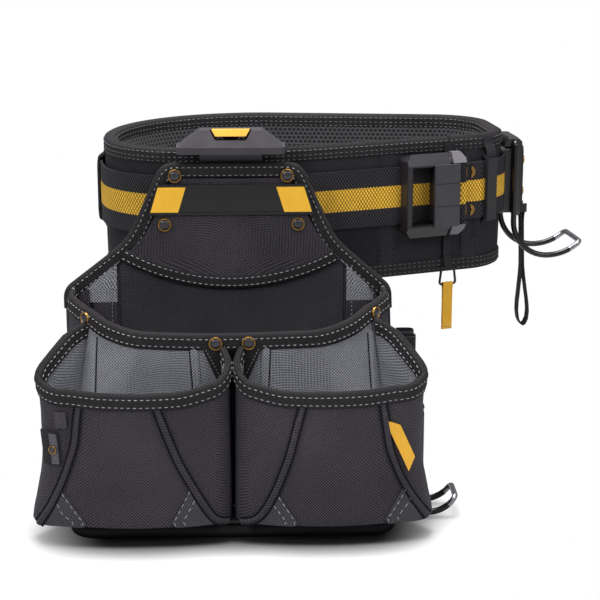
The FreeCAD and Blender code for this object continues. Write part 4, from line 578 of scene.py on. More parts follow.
rows = []
for i in range(9):
    z = PAD_LOW + 10.5 + (PAD_HIGH - PAD_LOW - 21.0) * i / 8
    rows.append([belt_point(r, -9.9 - 0.35 * math.sin(math.pi * i / 8), z) for r in round_the_belt])
cloth("pad_air_mesh", rows, 0.6, "belt", mesh_knit, ["pad_lining"])

# ---------------------------------------------------------------------------------------------
# End patches. Two upright strips of woven tape sewn on the pad beside the buckle, where the ends
# of the foam would otherwise show their edge.
# Polypropylene tape: a flatter weave than the binding's, slightly waxy.
strap_weave = woven("polypropylene_strap", "#0f0e10", "#3a393d", 1.6, rough=0.75, blotch=0.15, lift=0.6)
runs = []
for n, x in enumerate((-38.0, 43.0)):
    near = reach_of(BUCKLE, x)
    rows = [[belt_point(near + u * 4.0, 0.6 + 0.1 * math.sin(math.pi * i / 10), 188.0 + 99.0 * i / 10)
             for u in (-2, -1, 0, 1, 2)] for i in range(11)]
    cloth(f"pad_end_strip_{n + 1}", rows, 0.5, "belt", strap_weave,
          ["pad_end_patches"] if n == 0 else ())
    for u in (-6.2, 6.2):
        heights = [190.0 + 95.0 * i / 12 for i in range(13)]
        out = Vector((*belt_at(near + u)[1], 0))
        runs.append(([belt_point(near + u, 0.9, z) for z in heights], [out] * 13))
sew("pad_end_stitches", runs, "belt", wide=0.6, high=0.15, yarn=seam_thread)

# ---------------------------------------------------------------------------------------------
# Webbing. 50.8 mm polypropylene belt webbing, black with a yellow stripe woven in chevrons down
# its middle. A chevron is 4.7 mm high; its threads are drawn at 3 mm so that they show.
WEB_MIDDLE, WEB_WIDE, WEB_OUT = 250.0, 50.8, 4.9
WEB_LOW, WEB_HIGH = WEB_MIDDLE - WEB_WIDE / 2, WEB_MIDDLE + WEB_WIDE / 2
WEB_HALF = 25.2
striped, tree = empty_material("chevron_woven_webbing")
uv = add(tree, "ShaderNodeUVMap", uv_map="cloth")
split = add(tree, "ShaderNodeSeparateXYZ", {0: uv.outputs[0]})
run = add(tree, "ShaderNodeMath", {0: split.outputs[0], 1: 1000.0}, operation="MULTIPLY")
up = add(tree, "ShaderNodeMath", {0: split.outputs[1], 1: 1000.0}, operation="MULTIPLY")


def floats(pitch, row):
    """Threads that float in staggered rows, from 0 between them to 1 on top."""
    waves = []
    for lean in (1, -1):
        step = add(tree, "ShaderNodeMath", {0: up.outputs[0], 1: lean * math.pi / row}, operation="MULTIPLY")
        turns = add(tree, "ShaderNodeMath", {0: run.outputs[0], 1: math.pi / pitch, 2: step.outputs[0]},
                    operation="MULTIPLY_ADD")
        waves.append(add(tree, "ShaderNodeMath", {0: turns.outputs[0]}, operation="SINE"))
    crossed = add(tree, "ShaderNodeMath", {0: waves[0].outputs[0], 1: waves[1].outputs[0]},
                  operation="MULTIPLY")
    return add(tree, "ShaderNodeMath", {0: crossed.outputs[0]}, operation="ABSOLUTE")


stripe_threads, body_threads = floats(3.0, 4.6), floats(2.8, 4.2)
off = add(tree, "ShaderNodeMath", {0: up.outputs[0], 1: 25.0}, operation="SUBTRACT")
far = add(tree, "ShaderNodeMath", {0: off.outputs[0]}, operation="ABSOLUTE")
inside = add(tree, "ShaderNodeMapRange", {0: far.outputs[0], 1: 9.2, 2: 9.9, 3: 1.0, 4: 0.0})
place = add(tree, "ShaderNodeTexCoord")
fibre = add(tree, "ShaderNodeTexNoise", {"Vector": place.outputs["Object"], "Scale": 1000.0, "Detail": 2.0})
wear = add(tree, "ShaderNodeTexNoise", {"Vector": place.outputs["Object"], "Scale": 30.0, "Detail": 3.0})
worn = add(tree, "ShaderNodeMapRange", {0: wear.outputs[0], 1: 0.3, 2: 0.7, 3: 0.86, 4: 1.12})
tones = []
for threads, low, high in ((stripe_threads, "#7d4a05", "#ffcf4e"), (body_threads, "#010101", "#403e42")):
    soft = add(tree, "ShaderNodeMath", {0: fibre.outputs[0], 1: 1.0, 2: 0.95}, operation="MULTIPLY_ADD")
    lit = add(tree, "ShaderNodeMath", {0: threads.outputs[0], 1: soft.outputs[0]}, operation="MULTIPLY",
              use_clamp=True)
    tones.append(add(tree, "ShaderNodeMix", {0: lit.outputs[0], 6: colour(low), 7: colour(high)},
                     data_type="RGBA"))
tint = add(tree, "ShaderNodeMix", {0: inside.outputs[0], 6: tones[1].outputs[2], 7: tones[0].outputs[2]},
           data_type="RGBA")
final = add(tree, "ShaderNodeVectorMath", {0: tint.outputs[2], 1: worn.outputs[0]}, operation="MULTIPLY")
relief = add(tree, "ShaderNodeMix", {0: inside.outputs[0], 2: body_threads.outputs[0],
                                     3: stripe_threads.outputs[0]})
bump = add(tree, "ShaderNodeBump", {"Height": relief.outputs[0], "Strength": 0.7, "Distance": 0.0007})
shader = add(tree, "ShaderNodeBsdfPrincipled", {"Base Color": final.outputs[0], "Roughness": 0.68,
                                                "Normal": bump.outputs[0], "Specular IOR Level": 0.12})
add(tree, "ShaderNodeOutputMaterial", {"Surface": shader.outputs[0]})

web_way = belt_span(reach_of(BUCKLE, 27.4), reach_of(BUCKLE, 2.6), 3.0)
rows = []
for i in range(15):
    across = -1 + 2 * i / 14
    rows.append([belt_point(r, 3.62 + 0.12 * (1 - across ** 4), WEB_MIDDLE + WEB_HALF * across)
                 for r in web_way])
cloth("belt_webbing", rows, 2.0, "belt", striped, ["webbing"])

# ---------------------------------------------------------------------------------------------
# Fixed end of the webbing. It passes through the buckle's male half, turns round its bar and is
# sewn and riveted back on itself.
fold_line = [(52.0, -5.95), (47.0, -5.95), (42.0, -5.9), (36.0, -5.9), (31.0, -6.1), (27.6, -6.4),
             (26.2, -7.3), (25.8, -9.0), (25.8, -11.4), (26.2, -13.2), (27.8, -14.2), (30.6, -14.2),
             (32.0, -13.2), (32.6, -11.6), (33.0, -10.0), (33.4, -8.8)]
bent = []
for x, y in fold_line:
    droop = 0.0
    if x > 40:
        straight = BUCKLE @ Vector((x, 0, WEB_MIDDLE))
        bend = belt_point(reach_of(BUCKLE, x), 0, WEB_MIDDLE) - straight
        droop = bend.dot(BUCKLE.to_3x3() @ Vector((0, 1, 0))) / MM / MM
    bent.append((x, y + droop))
rows = [[BUCKLE @ Vector((x, y, WEB_MIDDLE + WEB_HALF * (-1 + 2 * i / 10))) for x, y in bent]
        for i in range(11)]
cloth("webbing_turned_end", rows, 2.0, "belt", striped, ["webbing_fold"])

# ---------------------------------------------------------------------------------------------
# Keepers. Loops of stiff black tape sewn to the pad above and below the webbing: three on the
# back, a broad one at the left end, and one at the right of the buckle that hangs from the rim.


def keeper_rows(reach, half, rise):
    """A loop over the webbing, from the pad below it to the pad above it."""
    out = WEB_OUT + 0.4 + rise / 2
    foot = [(0.5, 9.0), (0.7, 5.5), (out * 0.55, 3.4), (out - 0.4, 1.8), (out, -2.0)]
    section = [(offset, WEB_LOW - drop) for offset, drop in foot]
    section += [(out + 0.25, WEB_LOW + WEB_WIDE * i / 8) for i in range(1, 8)]
    section += [(offset, WEB_HIGH + drop) for offset, drop in reversed(foot)]
    spread = [reach + half * u / 4 for u in range(-4, 5)]
    return [[belt_point(r, offset, z) for r in spread] for offset, z in section]


keeper_places = []
back = (Vector(BELT_CORNERS[4]) - Vector(BELT_CORNERS[3])).normalized()
for n, along in enumerate((110.0, 200.0, 290.0)):
    spot = Vector(BELT_CORNERS[3]) + back * along
    keeper_places.append((f"back_keeper_{n + 1}", spot, 10.0, 2.4))
left = (Vector(BELT_CORNERS[0]) - Vector(BELT_CORNERS[4])).normalized()
keeper_places.append(("left_end_keeper", Vector(BELT_CORNERS[4]) + left * 150.0, 17.0, 2.6))
runs = []
for name, spot, half, rise in keeper_places:
    reach = nearest_reach(spot)
    nodes = {"back_keeper_1": ["belt_keepers"], "left_end_keeper": ["left_keeper"]}.get(name, ())
    cloth(name, keeper_rows(reach, half, rise), rise * 0.8, "belt", strap_weave, nodes)
    for z in (WEB_LOW - 7.4, WEB_HIGH + 7.4):
        spread = [reach + (half - 1.5) * u / 3 for u in range(-3, 4)]
        runs.append(([belt_point(r, 1.0 + rise * 0.4, z) for r in spread],
                     [Vector((*belt_at(r)[1], 0)) for r in spread]))
label_reach = reach_of(BUCKLE, 62.0)
cloth("rim_keeper", keeper_rows(label_reach, 5.6, 2.0), 1.6, "belt", strap_weave,
      ["label_keeper"])
out = WEB_OUT + 1.4
hanging = [(out, WEB_HIGH + 0.5), (out + 0.1, 280.0), (out - 0.4, 284.0), (out - 2.2, 287.0), (2.8, 289.0),
           (1.9, 291.5), (1.7, 294.0), (1.4, 296.2)]
rows = [[belt_point(label_reach + 5.0 * u / 3, offset, z) for u in range(-3, 4)] for offset, z in hanging]
cloth("rim_keeper_strap", rows, 1.4, "belt", strap_weave)
sew("keeper_stitches", runs, "belt", yarn=dull_thread)

# ---------------------------------------------------------------------------------------------
# Buckle. Side-release buckle moulded in glass-filled nylon, with a fine spark-eroded texture: the
# frame is black and the cover a lighter charcoal; the two finger pads are grey, a painted highlight from
# above.


def moulded(name, code, rough, grain=0.25, spread=0.10, coat=0.0, lift=0.25):
    """Moulded plastic: an even colour and a broken gleam.

    grain is the size of its texture in mm, and spread is how far its colour wanders.
    """
    made, tree = empty_material(name)
    place = add(tree, "ShaderNodeTexCoord")
    pits = add(tree, "ShaderNodeTexNoise", {"Vector": place.outputs["Object"], "Scale": 1000 / (grain * 4),
                                            "Detail": 2.0})
    cloud = add(tree, "ShaderNodeTexNoise", {"Vector": place.outputs["Object"], "Scale": 55.0,
                                             "Detail": 4.0})
    level = add(tree, "ShaderNodeMapRange", {0: cloud.outputs[0], 1: 0.3, 2: 0.7, 3: 1 - spread,
                                             4: 1 + spread})
    base = add(tree, "ShaderNodeVectorMath", {0: level.outputs[0], 1: tuple(colour(code)[:3])},
               operation="MULTIPLY")
    gloss = add(tree, "ShaderNodeMapRange", {0: cloud.outputs[0], 1: 0.3, 2: 0.7, 3: rough - 0.06,
                                             4: rough + 0.06})
    bump = add(tree, "ShaderNodeBump", {"Height": pits.outputs[0], "Strength": lift,
                                        "Distance": 0.4 * grain * MM})
    shader = add(tree, "ShaderNodeBsdfPrincipled", {"Base Color": base.outputs[0],
                                                    "Roughness": gloss.outputs[0],
                                                    "Normal": bump.outputs[0], "IOR": 1.5,
                                                    "Coat Weight": coat, "Coat Roughness": 0.15})
    add(tree, "ShaderNodeOutputMaterial", {"Surface": shader.outputs[0]})
    return made


def finish_nodes(material, *names):
    """Gives pieces that keep their own shape their real finish."""
    for name in names:
        for held in frame["nodes"][name].material_slots:
            held.material = material


black_nylon = moulded("glass_filled_nylon_black", "#272427", 0.34)
charcoal_nylon = moulded("glass_filled_nylon_charcoal", "#3b393e", 0.42)
# The finger pads' light grey is painted highlight where the light from above falls on them.
highlit_pad_nylon = moulded("glass_filled_nylon_painted_highlight_grey", "#6a676d", 0.40)
finish_nodes(black_nylon, "buckle_frame", "buckle_male", "front_hub", "side_hub", "clip_latch")
finish_nodes(charcoal_nylon, "buckle_cover")
finish_nodes(highlit_pad_nylon, "buckle_arm_upper", "buckle_arm_lower")

# ---------------------------------------------------------------------------------------------
# Label patch and eyelets. The patch is moulded rubber, left bare; the eyelets are rolled brass,
# lacquered and a little darkened in their hollows.
patch_rubber = moulded("moulded_rubber_black", "#242326", 0.55, grain=0.5, lift=0.35)
finish_nodes(patch_rubber, "keeper_label")

brass, tree = empty_material("lacquered_brass")
place = add(tree, "ShaderNodeTexCoord")
cloud = add(tree, "ShaderNodeTexNoise", {"Vector": place.outputs["Object"], "Scale": 260.0, "Detail": 4.0})
tint = add(tree, "ShaderNodeMix", {0: cloud.outputs[0], 6: colour("#6f4f26"), 7: colour("#c99d58")},
           data_type="RGBA")
gloss = add(tree, "ShaderNodeMapRange", {0: cloud.outputs[0], 1: 0.3, 2: 0.7, 3: 0.22, 4: 0.42})
shader = add(tree, "ShaderNodeBsdfPrincipled", {"Base Color": tint.outputs[2], "Metallic": 1.0,
                                                "Roughness": gloss.outputs[0]})
add(tree, "ShaderNodeOutputMaterial", {"Surface": shader.outputs[0]})
finish_nodes(brass, "anchor_eyelets")

# ---------------------------------------------------------------------------------------------
# Pull strap, ring and tab. A narrow black strap runs down the pad behind the buckle and holds a
# wire ring; a yellow ribbon folded over the ring's foot is the tab that is pulled.


def ribbon(name, line_yz, x, half, where, thick, body, material, nodes, columns=5):
    """A flat ribbon whose path is drawn in the y-z plane of a belt frame."""
    rows = [[where @ Vector((x + half * (-1 + 2 * i / (columns - 1)), y, z)) for y, z in line_yz]
            for i in range(columns)]
    return cloth(name, rows, thick, body, material, nodes)


def turn_round(y, z, radius, start, end, count):
    """Points round a bar, from one angle to another in degrees, measured from +y towards +z."""
    turns = [math.radians(start + (end - start) * i / (count - 1)) for i in range(count)]
    return [(y + radius * math.cos(a), z + radius * math.sin(a)) for a in turns]


RING_FOOT = 166.1
strap_line = [(-1.75, 293.5), (-1.75, 270.0), (-1.75, 245.0), (-1.75, 220.0), (-1.75, 200.0), (-1.7, 188.0)]
strap_line += turn_round(RING_Y, RING_Z, 1.9, 20, -200, 12) + [(-4.3, 185.0), (-3.2, 188.5), (-2.9, 191.5)]
ribbon("pull_strap_web", strap_line, PULL_X, 4.0, BUCKLE, 1.0, "belt", strap_weave,
       ["pull_strap"])

# Polyester ribbon: bright yellow with a satin face, so its weave hardly shows.
yellow_ribbon = woven("yellow_polyester_ribbon", "#d08f16", "#ffca4c", 1.0, turn=0, rough=0.6, blotch=0.1,
                      lift=0.3)
tab_sides = [(0.75, 41.5), (0.8, 30.0), (0.75, 16.0), (0.9, 6.0)]
tab_line = [(RING_Y + off, RING_FOOT - drop) for off, drop in tab_sides]
tab_line += turn_round(RING_Y, RING_FOOT, 1.65, -20, 200, 11)
tab_line += [(RING_Y - off, RING_FOOT - drop) for off, drop in reversed(tab_sides)]
ribbon("pull_tab_ribbon", tab_line, PULL_X, 4.75, BUCKLE, 0.8, "pull_tab", yellow_ribbon,
       ["pull_tab"])
out = (BUCKLE.to_3x3() @ Vector((0, -1, 0))).normalized()
runs = [([BUCKLE @ Vector((PULL_X - 3.6 + 7.2 * i / 3, RING_Y - 1.2, RING_FOOT - drop)) for i in range(4)],
         [out] * 4) for drop in (5.5, 39.0)]
sew("pull_tab_stitches", runs, "pull_tab", long=1.6, gap=0.6, wide=0.6)

# ---------------------------------------------------------------------------------------------
# Steel wire. The ring, hooks, brackets and the stand are bent from round bar and powder coated
# in black; the coat has a fine orange peel and is rubbed through at the bare tips.
coated, tree = empty_material("black_powder_coat")
place = add(tree, "ShaderNodeTexCoord")
peel = add(tree, "ShaderNodeTexNoise", {"Vector": place.outputs["Object"], "Scale": 520.0, "Detail": 2.0})
cloud = add(tree, "ShaderNodeTexNoise", {"Vector": place.outputs["Object"], "Scale": 40.0, "Detail": 4.0})
tint = add(tree, "ShaderNodeMix", {0: cloud.outputs[0], 6: colour("#0c0b0d"), 7: colour("#1c1b1e")},
           data_type="RGBA")
bump = add(tree, "ShaderNodeBump", {"Height": peel.outputs[0], "Strength": 0.3, "Distance": 0.0003})
shader = add(tree, "ShaderNodeBsdfPrincipled", {"Base Color": tint.outputs[2], "Roughness": 0.2,
                                                "Normal": bump.outputs[0], "Coat Weight": 0.25,
                                                "Coat Roughness": 0.05, "Specular IOR Level": 0.35})
add(tree, "ShaderNodeOutputMaterial", {"Surface": shader.outputs[0]})
finish_nodes(coated, "pull_ring", "holder_hook", "pouch_hook", "tether_anchor", "hook_bracket", "stand_wire",
             "stand_hinges")

# Bare drawn steel: bright, with fine lines along the wire.
steel, tree = empty_material("bright_drawn_steel")
place = add(tree, "ShaderNodeTexCoord")
stretched = add(tree, "ShaderNodeMapping", {"Vector": place.outputs["Object"], "Scale": (900, 120, 120)})
drawn = add(tree, "ShaderNodeTexNoise", {"Vector": stretched.outputs[0], "Scale": 1.0, "Detail": 3.0})
tint = add(tree, "ShaderNodeMix", {0: drawn.outputs[0], 6: colour("#6b6b6f"), 7: colour("#b9babe")},
           data_type="RGBA")
gloss = add(tree, "ShaderNodeMapRange", {0: drawn.outputs[0], 1: 0.2, 2: 0.8, 3: 0.22, 4: 0.38})
shader = add(tree, "ShaderNodeBsdfPrincipled", {"Base Color": tint.outputs[2], "Metallic": 1.0,
                                                "Roughness": gloss.outputs[0]})
add(tree, "ShaderNodeOutputMaterial", {"Surface": shader.outputs[0]})
finish_nodes(steel, "holder_hook_tip", "pouch_hook_tip", "button_springs")

# ---------------------------------------------------------------------------------------------
# Hammer holder. A glossy moulded clip that slides down over its hub, with a coated facing
# crowned a little over its foam, held by four rivets.
gloss_black = moulded("gloss_moulded_nylon", "#1c1a1c", 0.24, grain=0.3, coat=0.4, lift=0.1)
finish_nodes(gloss_black, "holder_clip")


def board(name, where, outline, middle, rings):
    """A padded board from its outline in the x-z plane of a frame.

    Each ring is a share of the outline, drawn in about a middle height, and the depth that it is at.
    """
    many = len(outline)
    points, faces = [], []
    for size, y in rings:
        points += [where @ Vector((p.x * size, y, middle + (p.y - middle) * size)) for p in outline]
    for k in range(len(rings) - 1):
        low, high = k * many, (k + 1) * many
        faces += [(low + i, low + (i + 1) % many, high + (i + 1) % many, high + i) for i in range(many)]
    faces += [tuple(range(many)), tuple(range((len(rings) - 1) * many, len(rings) * many))]
    made = mesh_object(name, points, faces, [(p.x, p.z) for p in points])
    tidy_mesh(made, angle=40)
    return made


# Coated cloth: the coat nearly fills the weave, so it gleams evenly.
facing_coat = woven("coated_holder_facing", "#1e1b1d", "#333033", 1.0, rough=0.42, blotch=0.12, lift=0.15)
facing_plan = rounded([(-19.3, 218.3), (19.3, 218.3), (19.3, 282.3), (-19.3, 282.3)], [5.0] * 4, 2.5)
facing = board("holder_facing", HOLDER, facing_plan, 250.3,
               [(1.0, -20.15), (1.0, -21.6), (0.985, -22.1), (0.95, -22.35), (0.88, -22.45), (0.5, -22.5),
                (0.02, -22.5)])
settle(facing, "hammer_holder", ["holder_panel"], facing_coat)

# ---------------------------------------------------------------------------------------------
# Rivets. Two-part brass rivets: a rolled brass rim about a dark oxidised cap. They fix the
# holder's facing, the pouch's clip and lip, the hook's bracket and the tape tab.
oxide, tree = empty_material("oxidised_rivet_cap")
place = add(tree, "ShaderNodeTexCoord")
cloud = add(tree, "ShaderNodeTexNoise", {"Vector": place.outputs["Object"], "Scale": 420.0, "Detail": 3.0})
tint = add(tree, "ShaderNodeMix", {0: cloud.outputs[0], 6: colour("#252427"), 7: colour("#5d5b60")},
           data_type="RGBA")
shader = add(tree, "ShaderNodeBsdfPrincipled", {"Base Color": tint.outputs[2], "Metallic": 0.7,
                                                "Roughness": 0.33})
add(tree, "ShaderNodeOutputMaterial", {"Surface": shader.outputs[0]})


def edit_faces(piece, chosen):
    """Goes into edit mode with only the faces that are chosen by their centre and normal."""
    bpy.ops.object.select_all(action="DESELECT")
    piece.select_set(True)
    bpy.context.view_layer.objects.active = piece
    bpy.ops.object.mode_set(mode="EDIT")
    bpy.ops.mesh.select_all(action="DESELECT")
    bpy.ops.object.mode_set(mode="OBJECT")
    for face in piece.data.polygons:
        face.select = chosen(face.center, face.normal)
    bpy.ops.object.mode_set(mode="EDIT")
    bpy.ops.mesh.select_mode(type="FACE")


bpy.ops.object.select_all(action="DESELECT")
bpy.ops.mesh.primitive_cylinder_add(vertices=28, radius=0.5, depth=0.17, location=(0, 0, 0.085))
pattern_rivet = bpy.context.object
pattern_rivet.name = "pattern_rivet"
bpy.ops.object.transform_apply(location=True, rotation=True, scale=True)
edit_faces(pattern_rivet, lambda centre, normal: normal.z > 0.9)
bpy.ops.mesh.bevel(offset=0.045, segments=3, affect="EDGES")
bpy.ops.object.mode_set(mode="OBJECT")
edit_faces(pattern_rivet, lambda centre, normal: normal.z > 0.99 and centre.xy.length < 0.1)
bpy.ops.mesh.inset(thickness=0.045, depth=0.0)
bpy.ops.mesh.inset(thickness=0.05, depth=-0.06)
bpy.ops.mesh.inset(thickness=0.012, depth=0.05)
bpy.ops.mesh.inset(thickness=0.07, depth=0.05)
bpy.ops.mesh.inset(thickness=0.12, depth=0.025)
bpy.ops.object.mode_set(mode="OBJECT")
pattern_rivet.data.materials.append(brass)
pattern_rivet.data.materials.append(oxide)
for face in pattern_rivet.data.polygons:
    face.material_index = int(face.center.xy.length < 0.375 and face.center.z > 0.1)


def set_rivets(name, places, body, nodes):
    """Copies of the rivet, each set by its centre, the way that it faces and its diameter in mm."""
    bpy.ops.object.select_all(action="DESELECT")
    copies = []
    for centre, out, wide in places:
        copy = pattern_rivet.copy()
        copy.data = pattern_rivet.data.copy()
        bpy.context.scene.collection.objects.link(copy)
        turn = out.to_track_quat("Z", "Y").to_matrix().to_4x4()
        copy.data.transform(Matrix.Translation(centre) @ turn @ Matrix.Scale(wide * MM, 4))
        copy.select_set(True)
        copies.append(copy)
    bpy.context.view_layer.objects.active = copies[0]
    bpy.ops.object.join()
    made = bpy.context.object
    made.name = name
    tidy_mesh(made, weld=0.000005, angle=40)
    settle(made, body, nodes)
    return made


out = (HOLDER.to_3x3() @ Vector((0, -1, 0))).normalized()
set_rivets("holder_rivet_set", [(HOLDER @ Vector((x, -22.3, z)), out, 8.4) for x in (-13.0, 13.0)
                                for z in (239.1, 268.1)], "hammer_holder", ["holder_rivets"])

# ---------------------------------------------------------------------------------------------
# Tether. A length of 10 mm webbing hung in a small pin, doubled and sewn above and open in a
# long loop below, which leans a little towards the pad.
LEAN, LEAN_TOP, LEAN_LONG = 4.0, 213.0, 104.0


def ramp(value, start, end):
    """How far a value has come from a start to an end, kept between 0 and 1."""
    return min(1.0, max(0.0, (value - start) / (end - start)))


tether_side = [(-24.95, 208.0), (-25.0, 190.0), (-24.95, 176.0), (-24.8, 166.0), (-24.0, 156.0),
               (-22.6, 144.0), (-21.0, 131.0), (-20.5, 122.0), (-21.4, 114.5), (-23.4, 110.0), (-25.7, 108.4)]
tether_line = turn_round(-25.7, 222.1, 2.1, 90, -10, 6) + [(-24.6, 214.0)] + tether_side
tether_line += [(-51.4 - y, z) for y, z in reversed(tether_line[:-1])]
tether_line[-1] = (-25.9, 224.2)
tether_line = [(y - LEAN * ramp(z, LEAN_TOP, LEAN_TOP - LEAN_LONG), z) for y, z in tether_line]
ribbon("tether_webbing", tether_line, -4.0, 5.0, HOLDER, 1.35, "tether", strap_weave,
       ["tether_loop"], columns=7)
runs = []
for side, y in ((1, -24.2), (-1, -27.2)):
    for x in (-7.6, -0.4):
        seam_line = [HOLDER @ Vector((x, y - LEAN * (LEAN_TOP - z) / LEAN_LONG, z))
                     for z in (LEAN_TOP, 200.0, 187.0, 173.0)]
        runs.append((seam_line, [out * -side] * 4))
    seam_line = [HOLDER @ Vector((-7.6 + 7.2 * i / 3, y - 1.6, 172.0)) for i in range(4)]
    runs.append((seam_line, [out * -side] * 4))
sew("tether_stitches", runs, "tether", long=2.4, gap=1.0, wide=0.6, yarn=dull_thread)

# ---------------------------------------------------------------------------------------------
# Back panel. Two layers of ballistic nylon over a foam-faced board, cut in a bottle shape, which
# everything on the pouch is sewn to.
# Ballistic nylon: coarse smooth yarns that catch the light on their crowns, with a faint warm cast.
ballistic = woven("ballistic_nylon_1680d", "#050406", "#524e55", 1.8, rough=0.6, blotch=0.18, lift=0.9)
PANEL_TOP, NECK_Z, SHOULDER_Z, FOOT_Z = 289.0, 225.0, 183.0, 16.0
PANEL_HALVES = (57.0, 86.0, 137.0, 140.0)


def panel_plan(grow, step=4.0):
    """The bottle outline in the pouch's x-z plane, larger all round by grow."""
    top, neck, shoulder, low = (h + grow for h in PANEL_HALVES)
    right = [(top, PANEL_TOP + grow), (neck, NECK_Z), (shoulder, SHOULDER_Z + grow * 0.4), (low, FOOT_Z)]
    radii = [15.0 + grow, 60.0, 14.0 + grow, 10.0]
    corners = right + [(-x, z) for x, z in reversed(right)]
    corners = [(x - 3.5, z) if abs(x) == shoulder else (x, z) for x, z in corners]
    return rounded(corners, radii + radii[::-1], step)


def span_at(plan, z):
    """The left and right ends of an outline at a height."""
    found = []
    for a, b in zip(plan, plan[1:] + plan[:1]):
        if min(a.y, b.y) <= z <= max(a.y, b.y) and abs(a.y - b.y) > 1e-6:
            found.append(a.x + (b.x - a.x) * (z - a.y) / (b.y - a.y))
    return min(found), max(found)


# The slump is read from a field of noise, which is seeded so that it is the same each run.
SLUMP_SEED = 1795368908
noise.seed_set(SLUMP_SEED)


def pouch_at(x, y, z):
    """A point of the pouch, from its own millimetres, with the slight slump that the cloth takes."""
    slump = noise.noise_vector(Vector((x, y * 1.3, z)) / 52.0) * 0.9
    fade = ramp(z, 215.0, 155.0) * ramp(y, -4.0, -44.0)
    pulled = ramp(abs(x), 110.0, 150.0) * ramp(y, -60.0, -85.0)
    pulled *= 4.6 * math.exp(-((z - 66.0) / 34.0) ** 2) * ramp(z, 14.0, 34.0)
    pull = Vector((-math.copysign(pulled, x), 0, 0))
    return POUCH @ (Vector((x, y, z)) + Vector((slump.x * 0.7, slump.y, slump.z * 0.7)) * fade + pull)


def pouch_way(x, y, z):
    """A direction of the pouch, of length one."""
    return (POUCH.to_3x3() @ Vector((x, y, z))).normalized()


panel = board("pouch_back_board", POUCH, panel_plan(-0.2), 150,
              [(0.02, -4.9), (0.5, -4.9), (0.85, -4.8), (0.95, -4.6), (0.985, -4.2), (1.0, -3.2), (1.0, -1.8),
               (0.985, -0.7), (0.95, -0.3), (0.85, -0.15), (0.5, -0.1), (0.02, -0.1)])
settle(panel, "pouch", ["back_panel"], ballistic)

# ---------------------------------------------------------------------------------------------
# Back binding. Wide woven tape folded over the panel's edge from shoulder to shoulder, with two
# rows of stitches on each face; behind the clip's plate it is pressed flat.
TAPE_ENDS = 168.0
edge_plan = panel_plan(0.0, step=3.0)
start = max(range(len(edge_plan)), key=lambda i: (edge_plan[i].x < 0, -abs(edge_plan[i].y - TAPE_ENDS)))
ordered = edge_plan[start:] + edge_plan[:start]
if ordered[5].y < ordered[0].y:
    ordered = ordered[::-1]
edge_line = [ordered[0]]
for p in ordered[1:]:
    edge_line.append(p)
    if p.x > 0 and p.y < TAPE_ENDS:
        break


def edge_way(i):
    """The way out of the panel's edge, in the plane of the panel."""
    a, b = edge_line[max(i - 1, 0)], edge_line[min(i + 1, len(edge_line) - 1)]
    along = (b - a).normalized()
    way = Vector((-along.y, along.x))
    return way if way.dot(edge_line[i] - Vector((0, 200.0))) > 0 else -way


def panel_edge(grow, y):
    """The panel's edge line, moved out by grow, at a depth."""
    moved = []
    for i, p in enumerate(edge_line):
        q = p + edge_way(i) * grow
        deep = min(y, -0.4) if abs(q.x) < 28.0 and q.y > 200 else y
        moved.append(POUCH @ Vector((q.x, deep, q.y)))
    return moved


section = [(-11.2, -5.3), (-10.6, -5.9), (-8.0, -6.1), (-5.4, -5.9), (-3.0, -6.05), (-1.0, -5.9),
           (0.5, -5.1), (0.95, -3.6), (0.95, -1.6), (0.5, 0.0), (-1.0, 0.7), (-3.0, 0.9), (-5.4, 0.75),
           (-8.0, 0.9), (-10.6, 0.7), (-11.2, 0.2)]
cloth("pouch_rim_tape", [panel_edge(g, y) for g, y in section], 0.7, "pouch", tape_weave,
      ["back_binding"])
front_way, back_way = pouch_way(0, -1, 0), pouch_way(0, 1, 0)
sewn = [i for i, p in enumerate(edge_line) if p.y > 181.0]
runs = [([panel_edge(g, y)[i] for i in sewn], [way] * len(sewn))
        for y, way in ((-6.35, front_way), (1.15, back_way)) for g in (-2.6, -9.2)]
sew("pouch_rim_stitches", runs, "pouch")

# ---------------------------------------------------------------------------------------------
# Lining. A thin black nylon on the panel inside the main pocket, with a light-grey gusset strip
# at each side where the pocket's wall turns back to the panel.
# Coated lining: thinner than the front's cloth, so it is flatter and duller.
thin_lining = woven("coated_nylon_lining", "#121114", "#4b494e", 1.75, rough=0.65, blotch=0.2, lift=0.6)
inner_plan = panel_plan(-11.6)


def panel_sheet(name, low, high, y, material, nodes, limits, columns=25):
    """A thin sheet on the panel between two heights; limits gives its two ends between the panel's."""
    rows = []
    for i in range(22):
        z = low + (high - low) * i / 21
        left, right = limits(*span_at(inner_plan, z))
        rows.append([POUCH @ Vector((left + (right - left) * u / (columns - 1), y, z))
                     for u in range(columns)])
    cloth(name, rows, 0.8, "pouch", material, nodes)


panel_sheet("panel_lining", 20.0, 216.0, -5.5, thin_lining, ["back_lining"],
            lambda left, right: (max(left, -93.5), min(right, 93.5)))
# Grey ballistic nylon: the same coarse yarns, light enough for their shadows to show between them.
grey_nylon = woven("grey_ballistic_nylon", "#27282c", "#b0b2b9", 1.8, rough=0.62, blotch=0.16, lift=0.9)
runs = []
for side, word in ((-1, "left"), (1, "right")):
    # Below each grey facing, a black sheet makes the panel darker lower down at the sides of the pocket.
    for piece, low, high, near, far, y, slot, material in (
            ("facing", 172.5, 209.0, 96.5, 122.5, -6.4, "grey_nylon", grey_nylon),
            ("patch", 128.0, 172.3, 96.5, 116.5, -6.5, "black_nylon", ballistic),
            ("stay", 150.0, 184.0, 119.5, 133.0, -7.6, "black_nylon", ballistic)):
        panel_sheet(f"gusset_{piece}_{word}", low, high, y, material, (),
                    lambda left, right: (min(right - 1.0, near), min(right, far)) if side > 0
                    else (max(left, -far), max(left + 1.0, -near)), columns=9)
    heights = [131.0 + 73.0 * n / 12 for n in range(13)]
    runs.append(([POUCH @ Vector((side * 101.0, -7.2, z)) for z in heights], [front_way] * 13))
sew("gusset_facing_stitches", runs, "pouch", long=2.2, gap=1.2, wide=0.7)

